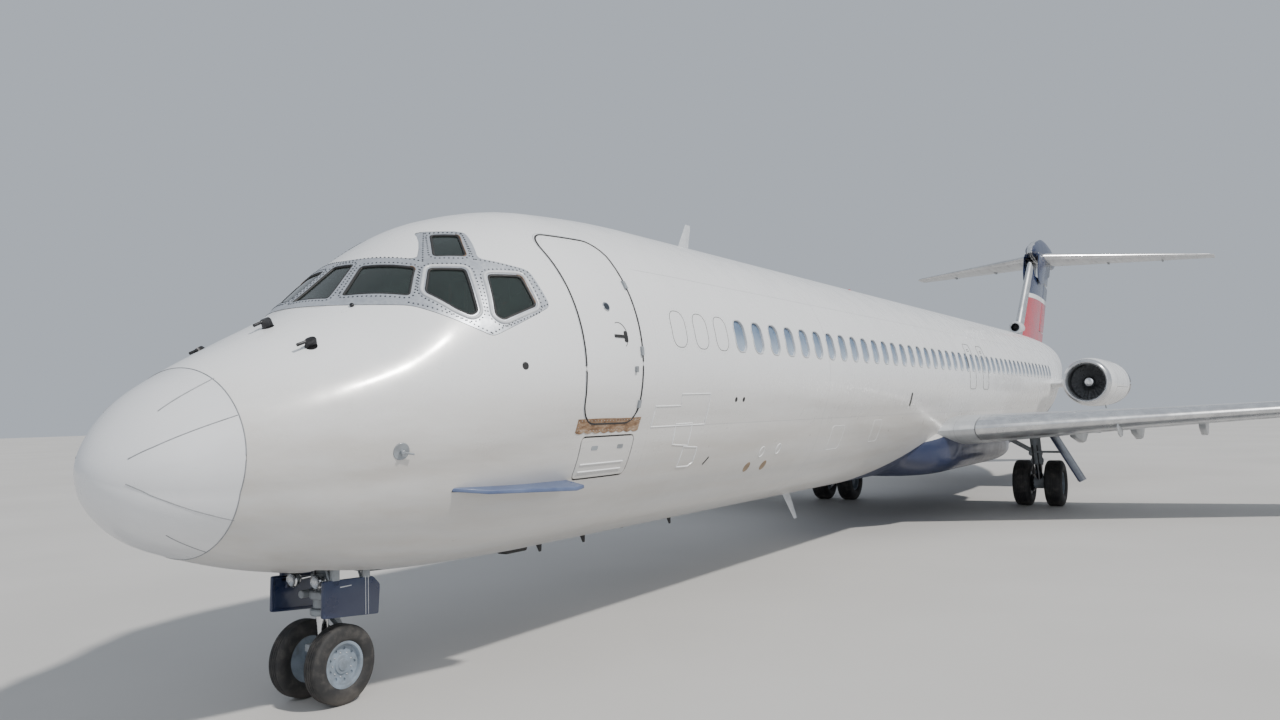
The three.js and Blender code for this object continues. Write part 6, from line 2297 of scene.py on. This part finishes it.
def make_strakes():
    """A flat strake with a rounded edge, and its dark sealed foot."""
    z = 1.7575
    edge = [(2.6, 1.22), (2.85, 1.4), (3.3, 1.5), (3.8, 1.61), (3.97, 1.57)]
    inside = []
    for station in [2.6 + 1.37 * i / 24 for i in range(25)]:
        inside.append((station, abs(skin_point(station, z, 1).y) / HALF - 0.03))
    outline = [*edge, *reversed(inside)]
    plate = bevelled(plan_prism("strake", outline, 1.74, 1.775), 0.008, 3)
    for vertex in plate.data.vertices:
        vertex.co.z -= (abs(vertex.co.y) - STRAKE_TILT["from"] * HALF) * STRAKE_TILT["slope"]
    both_sides("strake_plate", coloured(plate, "strake"), "airframe", "navy_paint", "strake")
    foot = [(s, y + 0.032, z + (STRAKE_TILT["from"] - y) * STRAKE_TILT["slope"]) for s, y in inside]
    bead = [sweep("foot", [(s, y, z + dz) for s, y, z in foot], 0.008, 6) for dz in (-0.022, 0.022)]
    both_sides("strake_foot", coloured(joined("foot", bead), "rubber"), "airframe", "engine_dark")


# An aerial's section: along as a part of its chord, across as a part of its half thickness
AERIAL = ((0, 0), (0.12, 0.8), (0.35, 1), (0.7, 0.7), (1, 0.06), (1, -0.06), (0.7, -0.7), (0.35, -1),
          (0.12, -0.8))


def blade(name, station, y, length, height, lean, thick, up):
    """A swept aerial that stands out of the skin at the top or the bottom."""
    rings = []
    spot, normal = on_skin(at(station, y, 4.4 if up else 0.5))
    for t in (-0.06, 0.0, 0.5, 0.9, 1.0):
        chord = length * (1 - 0.55 * max(t, 0)) * (0.9 if t == 1.0 else 1.0)
        front = lean * max(t, 0) * height
        half = thick * (1 - 0.5 * max(t, 0)) * (0.6 if t == 1.0 else 1.0)
        ring = []
        for along, across in AERIAL:
            ring.append(spot + Vector((-(front + along * chord) * HALF, 0, 0)) + normal * (t * height * HALF)
                        + Vector((0, 1, 0)) * across * half * HALF)
        rings.append(ring)
    return loft(name, rings, 40)


def make_aerials():
    """Blade aerials, a low dome, a dark mast and the two red beacons."""
    white = [blade("aerial", 8.5, 0.0, 0.32, 0.42, 0.6, 0.02, True),
             blade("aerial", 11.35, 0.33, 0.28, 0.42, 0.6, 0.02, False)]
    white.append(skin_post("dome", (13.2, 0.0, 4.8), 0.004, 0.13, 0.07, 32, 0.03, 0.1))
    dark = [blade("aerial", station, 0.4, 0.1, 0.075, 0.4, 0.012, False) for station in (4.85, 5.65, 7.57)]
    level = on_skin(at(4.85, 0, 0.5))[0].z / HALF
    mast = [(4.58, level + 0.06), (4.66, level - 0.06), (5.0, level - 0.06), (5.04, level + 0.06)]
    dark.append(bevelled(side_prism("mast", mast, -0.07, 0.07), 0.02, 3))
    dress("white_aerials", white, "rim", "airframe", "white_paint")
    dress("dark_aerials", dark, "seal", "airframe", "engine_dark")
    for name, station, height in (("beacon_lower", 17.8, 0.5), ("beacon_upper", 15.4, 4.8)):
        place = (station, 0, height)
        foot = coloured(skin_post("foot", place, 0.004, 0.075, 0.025, 32, 0.006), "gear")
        dome_part = [skin_post("beacon", place, -0.01, 0.058, 0.05, 28, 0.0, 0.052),
                     skin_post("beacon", place, -0.034, 0.052, 0.035, 28, 0.012, 0.03)]
        placed(foot, "airframe", "gear_grey")
        dress(name, dome_part, "red", "airframe", "red_paint")


def pitot(station, y, height):
    """A small bent probe with a thin foot plate."""
    spot, normal = on_skin(at(station, y, height))
    way = Vector((1, 0, 0))
    way = (way - normal * way.dot(normal)).normalized()
    out = spot + normal * (0.058 * HALF)
    side = normal.cross(way).normalized()
    rings = []
    for lift, lean, chord in ((-0.01, 0.0, 0.055), (0.05, 0.0, 0.05), (0.068, 0.006, 0.046),
                              (0.074, 0.008, 0.04)):
        middle = spot + (normal * lift + way * lean) * HALF
        rings.append([middle + (way * chord * cos(a) + side * 0.018 * sin(a)) * HALF for a in turns(20)])
    head = tube("head", [out, out + way * (0.07 * HALF), out + way * (0.12 * HALF)], 0.013 * HALF, 14)
    foot = post("foot", spot - normal * 0.003, normal, 0.05, 0.007, 28, 0.001)
    return [foot, loft("arm", rings, 40), head]


def make_probes():
    """Pitot heads, a vane plate, a dark port, static ports and the radome's lightning strips."""
    heads = []
    for station, y, height in ((1.665, 0.125, 3.131), (1.64, 0.669, 2.949), (1.64, -0.669, 2.949)):
        heads += pitot(station, y, height)
    dress("pitot_heads", heads, "dark", "airframe", "engine_dark")
    small = []
    for side in (1, -1):
        spot, normal = on_skin(at(2.05, side * 1.21, 2.12))
        small.append(post("vane_foot", spot - normal * 0.003, normal, 0.07, 0.012, 32, 0.004))
        turn = Vector((-1, 0, -0.12))
        turn = (turn - normal * turn.dot(normal)).normalized()
        start = spot + normal * (0.03 * HALF)
        small.append(tube("vane", [start, start + turn * (0.1 * HALF)], 0.008 * HALF, 8))
        small.append(post("vane_post", spot, normal, 0.018, 0.04, 16, 0.004))
    dress("vanes", small, "gear", "airframe", "gear_grey")
    ports = []
    for side in (1, -1):
        ports.append(skin_post("port", (3.19, side * 1.53, 2.8), 0.002, 0.034, 0.0075, 32, 0.002))
        for station in (7.0, 7.2):
            ports.append(skin_post("static", (station, side * 1.62, 2.5), 0.002, 0.03, 0.006, 24, 0.001))
    dress("dark_ports", ports, "seal", "airframe", "engine_dark")
    strips = []
    for first, last in (((0.3, 0.38, 2.17), (0.95, 0.73, 2.43)), ((0.56, 0.36, 2.5), (0.97, 0.43, 2.7)),
                        ((0.3, 0.37, 1.96), (0.97, 0.66, 1.68)), ((0.64, 0.36, 1.59), (0.96, 0.35, 1.45))):
        for side in (1, -1):
            a, b = ((s, side * y, z) for s, y, z in (first, last))
            strips.append(tube("strip", skin_path(a, b, 12, -0.001), 0.0045 * HALF, 8))
    strips.append(tube("radome_seam", fuselage_ring(BARRELS["seam"]), 0.0045 * HALF, 6, closed=True))
    dress("radome_strips", strips, "strip", "airframe", "window_frame")
    patches = []
    for place in ((7.908, 1.294, 1.648), (8.401, 1.291, 1.644)):
        patches.append(skin_post("patch", place, 0.003, 0.075, 0.0085, 36, 0.002))
    dress("brown_patches", patches, "brown", "airframe", "window_frame")


make_strakes()
make_aerials()
make_probes()


# Cockpit, seen through its panes
def make_cockpit():
    """Panels, gauges, levers, seats and yokes, seen through the glass."""
    shield = [(2.45, -0.5), (2.45, 0.5), (2.62, 0.78), (2.86, 0.98), (2.95, 1.0), (2.95, -1.0),
              (2.86, -0.98), (2.62, -0.78)]
    dark = [
        bevelled(plan_prism("shield", shield, 3.325, 3.36), 0.01),
        block("panel", 2.88, 2.93, -0.95, 0.95, 3.035, 3.325, 0.01),
        block("pedestal", 2.95, 3.5, -0.17, 0.17, 3.035, 3.18, 0.03),
        block("overhead", 3.08, 3.45, -0.26, 0.26, 3.9, 3.95, 0.015),
        block("bulkhead", 3.68, 3.71, -0.95, 0.95, 3.035, 3.95, 0.01),
    ]
    gauges, levers = [], []
    for i in range(7):
        for z in (3.13, 3.24):
            y = -0.75 + 0.25 * i
            gauges.append(rod("gauge", (2.928, y, z), (2.938, y, z), 0.042, 24, bevel=0.003))
    for i in range(5):
        y = -0.09 + 0.045 * i
        levers.append(rod("lever", (3.15, y, 3.17), (3.19, y, 3.26), 0.007, 8))
        levers.append(rod("knob", (3.18, y, 3.25), (3.2, y, 3.285), 0.014, 12, bevel=0.004))
    seats, belts, yokes = [], [], []
    for side in (-1, 1):
        y = side * 0.53
        seats += [
            block("back", 3.46, 3.56, y - 0.2, y + 0.2, 3.1, 3.66, 0.04, 4),
            block("head", 3.45, 3.54, y - 0.12, y + 0.12, 3.68, 3.82, 0.035, 4),
            block("cushion", 3.12, 3.5, y - 0.21, y + 0.21, 3.04, 3.14, 0.04, 4),
            block("arm", 3.16, 3.48, y - 0.26, y - 0.215, 3.24, 3.29, 0.018, 3),
            block("arm", 3.16, 3.48, y + 0.215, y + 0.26, 3.24, 3.29, 0.018, 3),
        ]
        for off in (-0.1, 0.1):
            belts.append(block("belt", 3.448, 3.456, y + off - 0.02, y + off + 0.02, 3.2, 3.62, 0.002, 1))
        yokes.append(rod("column", (2.98, y, 3.04), (3.02, y, 3.28), 0.022, 16))
        wheel = [(3.03, y + 0.16 * cos(radians(a)), 3.3 + 0.11 * sin(radians(a)))
                 for a in range(-215, 36, 10)]
        yokes.append(sweep("yoke", wheel, 0.013, 8))
        yokes.append(rod("bar", (3.03, y - 0.13, 3.29), (3.03, y + 0.13, 3.29), 0.013, 10))
    red = [rod("bottle", (3.6, y, 3.2), (3.6, y, 3.42), 0.05, 20, bevel=0.015) for y in (1.0, -1.0)]
    white = [block("box", 3.58, 3.67, *ys, 3.3, 3.5, 0.01) for ys in ((0.7, 0.86), (-0.86, -0.7))]
    lining = [block("wall", 3.62, 3.67, *ys, 3.25, 3.75, 0.01) for ys in ((0.3, 0.66), (-0.66, -0.3))]
    for name, things, stuff, slot in (("cockpit_panels", dark, "inside", "engine_dark"),
                                      ("cockpit_gauges", gauges + levers, "rim", "window_frame"),
                                      ("cockpit_seats", seats, "seat", "engine_dark"),
                                      ("cockpit_belts", belts, "red", "red_paint"),
                                      ("cockpit_yokes", yokes, "seal", "engine_dark"),
                                      ("cockpit_bottles", red, "red", "red_paint"),
                                      ("cockpit_boxes", white, "rim", "white_paint"),
                                      ("cockpit_lining", lining, "amber", "window_frame")):
        dress(name, things, stuff, "airframe", slot)


make_cockpit()


# Raised sealant lines, outlets and rings on the skin
PANEL_LINES = [
    [(5.196, 2.223), (5.19, 2.434), (5.713, 2.438), (5.694, 2.559), (6.33, 2.567), (6.365, 2.226)],
    [(5.719, 2.023), (5.706, 2.242), (6.074, 2.244), (6.069, 1.998)],
    [(6.001, 1.764), (5.984, 1.99), (6.308, 1.971), (6.33, 1.801), (6.255, 1.76)],
]
HINGE_LINES = (1.83, 1.9)
NOZZLE = (2.168, 0.536, 3.31)
SERVICE_PANELS = [(10.4, 10.9, 1.75, 2.1, 0.05), (12.2, 12.6, 1.8, 2.15, 0.05), (25.6, 26.1, 1.9, 2.3, 0.05),
                  (29.2, 29.7, 2.6, 2.95, 0.06), (31.4, 31.8, 2.9, 3.25, 0.05)]


def make_panel_lines():
    """Raised sealant lines, service panels, outlets as black plates of painted shade, and a nozzle, with
    their rivets.
    """
    lines = [outline_tube("line", PORT, outline, 0.007, 0.001, 6) for outline in PANEL_LINES]
    for flat in (PORT, STARBOARD):
        for sizes in SERVICE_PANELS:
            lines.append(outline_tube("line", flat, hatch(sizes), 0.0035, -0.0005, 6))
    for station, height in ((8.139, 1.832), (8.632, 1.848)):
        ring = [(station + 0.065 * cos(a), height + 0.065 * sin(a)) for a in turns(28)]
        lines.append(tube("ring", [PORT.cast(u, v, 0.0)[0] for u, v in ring], 0.006 * HALF, 6, closed=True))
    for height in HINGE_LINES:
        ends = [(AIRSTAIR_DOOR[0] + 0.05, height), (AIRSTAIR_DOOR[1] - 0.1, height)]
        steps = [ends[0][0] + (ends[1][0] - ends[0][0]) * k / 12 for k in range(13)]
        lines.append(tube("hinge", [PORT.cast(u, height, 0.003)[0] for u in steps], 0.007 * HALF, 6))
    dress("panel_lines", lines, "bright_line", "airframe", "white_paint")
    slit = [(6.62, 1.75), (6.7, 1.83), (6.685, 1.845), (6.605, 1.765)]
    outlet = hatch((13.86, 13.94, 2.36, 2.6, 0.035))
    aft_outlet = hatch((21.6, 21.9, 2.7, 2.82, 0.03))
    # Black plates of painted shade for the openings of the outlets.
    slits = [skin_plate("outlet", flat, outline, 0.003, 0.01, 0.1) for flat, outline in (
        (PORT, slit), (PORT, outlet), (STARBOARD, outlet), (STARBOARD, aft_outlet))]
    dress("outlets", slits, "seal", "airframe", "engine_dark")
    spots = []
    for angle in turns(22):
        place = (NOZZLE[0] + 0.13 * cos(angle), NOZZLE[1], NOZZLE[2] + 0.08 * sin(angle))
        spots.append(spot_on_skin(at(*place)))
    for outline in PANEL_LINES:
        spots += rivet_spots(PORT, grown(outline, -0.025), 0.05)
    for flat in (PORT, STARBOARD):
        for sizes in SERVICE_PANELS:
            spots += rivet_spots(flat, hatch(sizes, -0.02), 0.04)
    rivet_rows("panel_rivets", spots)
    nozzle = skin_post("windscreen_nozzle", NOZZLE, 0.003, 0.018, 0.03, 16, 0.006)
    placed(coloured(nozzle, "dark"), "airframe", "engine_dark")


def make_skin_rivets():
    """Rows of flush rivets along the skin joints and laps."""
    rays = []
    round_joint, along_lap = 150, 320
    outside = 2.6
    for station in SKIN_JOINTS:
        for away in (-0.025, 0.025):
            centre = at(station + away, 0, AXIS_HEIGHT)
            for angle in turns(round_joint):
                point = at(station + away, outside * cos(angle), AXIS_HEIGHT + outside * sin(angle))
                rays.append((point, (centre - point).normalized()))
    for s in (1, -1):
        for height in SKIN_LAPS:
            for i in range(along_lap):
                station = 7.8 + 20.0 * i / (along_lap - 1)
                rays.append((at(station, s * 4, height + 0.02), Vector((0, -s, 0))))
    hits = [SKIN.ray_cast(start, way) for start, way in rays]
    spots = [(hit, turned_to(normal)) for hit, normal, _, _ in hits if hit is not None]
    rivet_rows("skin_rivets", spots, "flush")


make_panel_lines()
make_skin_rivets()


# Small forms on the fin, wings and tailplane
def make_fin_inlet():
    """The round air inlet at the foot of the fin's leading edge."""
    centre = (31.16, 0, 4.88)
    front, _, height = centre
    profile = [(0.34, 0.0), (0.33, 0.118), (0.04, 0.132), (0.008, 0.148), (0.0, 0.165), (0.008, 0.182),
               (0.05, 0.198), (0.25, 0.21), (0.7, 0.19), (1.1, 0.13), (1.5, 0.03), (1.52, 0.0)]
    placed(coloured(lathe("fin_inlet", profile, centre, "X", 44), "rim"), "airframe", "white_paint")
    liner = [(0.06, 0.1325), (0.32, 0.1185), (0.32, 0.114), (0.06, 0.128)]
    liner = lathe("fin_inlet_liner", liner, centre, "X", 44, True)
    back = rod("back", (front + 0.315, 0, height), (front + 0.337, 0, height), 0.117, 40)
    dress("fin_inlet_liner", [liner, back], "dark", "airframe", "engine_dark")


def make_under_fittings():
    """A thin fin under each wing's leading edge, brackets under the tailplane and the elevators' wicks."""
    outline = [(18.02, 1.95), (17.95, 1.84), (18.08, 1.72), (18.42, 1.64), (18.7, 1.67), (18.8, 1.9)]
    fin = bevelled(side_prism("fin", rounded(outline, 0.06, 5), 4.44, 4.47), 0.008, 3)
    both_sides("wing_underfin", coloured(fin, "rim"), "airframe", "white_paint")
    brackets = []
    for y in (2.1, 3.9):
        _, front, height, chord, ratio = row_at(TAILPLANE, y)
        low = height - chord * foil_half(0.55, ratio)
        outline = [(front + part * chord, low + up) for part, up in (
            (0.42, 0.01), (0.5, -0.05), (0.6, -0.07), (0.64, -0.05), (0.65, 0.01))]
        brackets.append(bevelled(side_prism("bracket", outline, y - 0.03, y + 0.03), 0.01))
    both_sides("tailplane_brackets", coloured(joined("brackets", brackets), "gear"), "tailplane", "gear_grey")
    wicks = []
    for y in (2.0, 3.0, 4.0):
        _, front, height, chord, _ = row_at(TAILPLANE, y)
        back = (front + chord - 0.02, y, height)
        wicks.append(rod("wick", back, (back[0] + 0.15, y, height), 0.006, 6, 0.002))
    both_sides("elevator_wicks", coloured(joined("wicks", wicks), "hose"), "elevator", "engine_dark")


make_fin_inlet()
make_under_fittings()


# Stage
def make_stage():
    """A pale floor, which isn't part of the aircraft."""
    floor = bpy.data.meshes.new("floor")
    size = 80
    corners = [(-size, -size, 0), (size, -size, 0), (size, size, 0), (-size, size, 0)]
    floor.from_pydata(corners, [], [(0, 1, 2, 3)])
    ground = new_object("floor", floor)
    paint = Paint("pale_floor")
    cloud = paint.noise(0.4, 4, 0.5)
    tone = paint.mix(paint.between(cloud, 0.3, 0.7), (0.5, 0.49, 0.475), (0.54, 0.53, 0.515))
    floor.materials.append(paint.finish(tone, 0.7))


def make_light(name, kind, energy, where, aim, size=1.0, colour=(1, 1, 1)):
    data = bpy.data.lights.new(name, kind)
    data.energy = energy
    data.color = colour
    if kind == "AREA":
        data.size = size
    if kind == "SUN":
        data.angle = radians(size)
    lamp = bpy.data.objects.new(name, data)
    bpy.context.scene.collection.objects.link(lamp)
    lamp.location = where
    lamp.rotation_euler = (Vector(aim) - Vector(where)).to_track_quat("-Z", "Y").to_euler()


def make_world():
    world = bpy.data.worlds.new("studio")
    bpy.context.scene.world = world
    world.use_nodes = True
    backdrop = world.node_tree.nodes["Background"]
    backdrop.inputs["Color"].default_value = (0.8, 0.87, 0.97, 1)
    backdrop.inputs["Strength"].default_value = 0.6


CAMERA = {"place": (11.9853, 3.4278, 1.2032), "yaw": 212.0112, "pitch": 2.8543, "roll": -1.2355,
          "lens": 27.84}


def make_camera():
    data = bpy.data.cameras.new("camera")
    data.lens = CAMERA["lens"]
    data.sensor_width = 36
    data.clip_end = 300
    camera = bpy.data.objects.new("camera", data)
    bpy.context.scene.collection.objects.link(camera)
    yaw, pitch, roll = (radians(CAMERA[key]) for key in ("yaw", "pitch", "roll"))
    ahead = Vector((cos(yaw) * cos(pitch), sin(yaw) * cos(pitch), sin(pitch)))
    right = Vector((sin(yaw), -cos(yaw), 0))
    up = right.cross(ahead)
    right, up = cos(roll) * right + sin(roll) * up, -sin(roll) * right + cos(roll) * up
    turn = Matrix((right, up, -ahead)).transposed()
    camera.matrix_world = Matrix.Translation(CAMERA["place"]) @ turn.to_4x4()
    bpy.context.scene.camera = camera


make_stage()
make_world()
make_light("sun", "SUN", 3.6, (-1, 14, 17), (0, 0, 0), 3.0, (1.0, 0.965, 0.91))
make_light("fill", "AREA", 700, (22, 10, 8), (8, 0, 1), 12.0, (0.93, 0.96, 1.0))
make_camera()
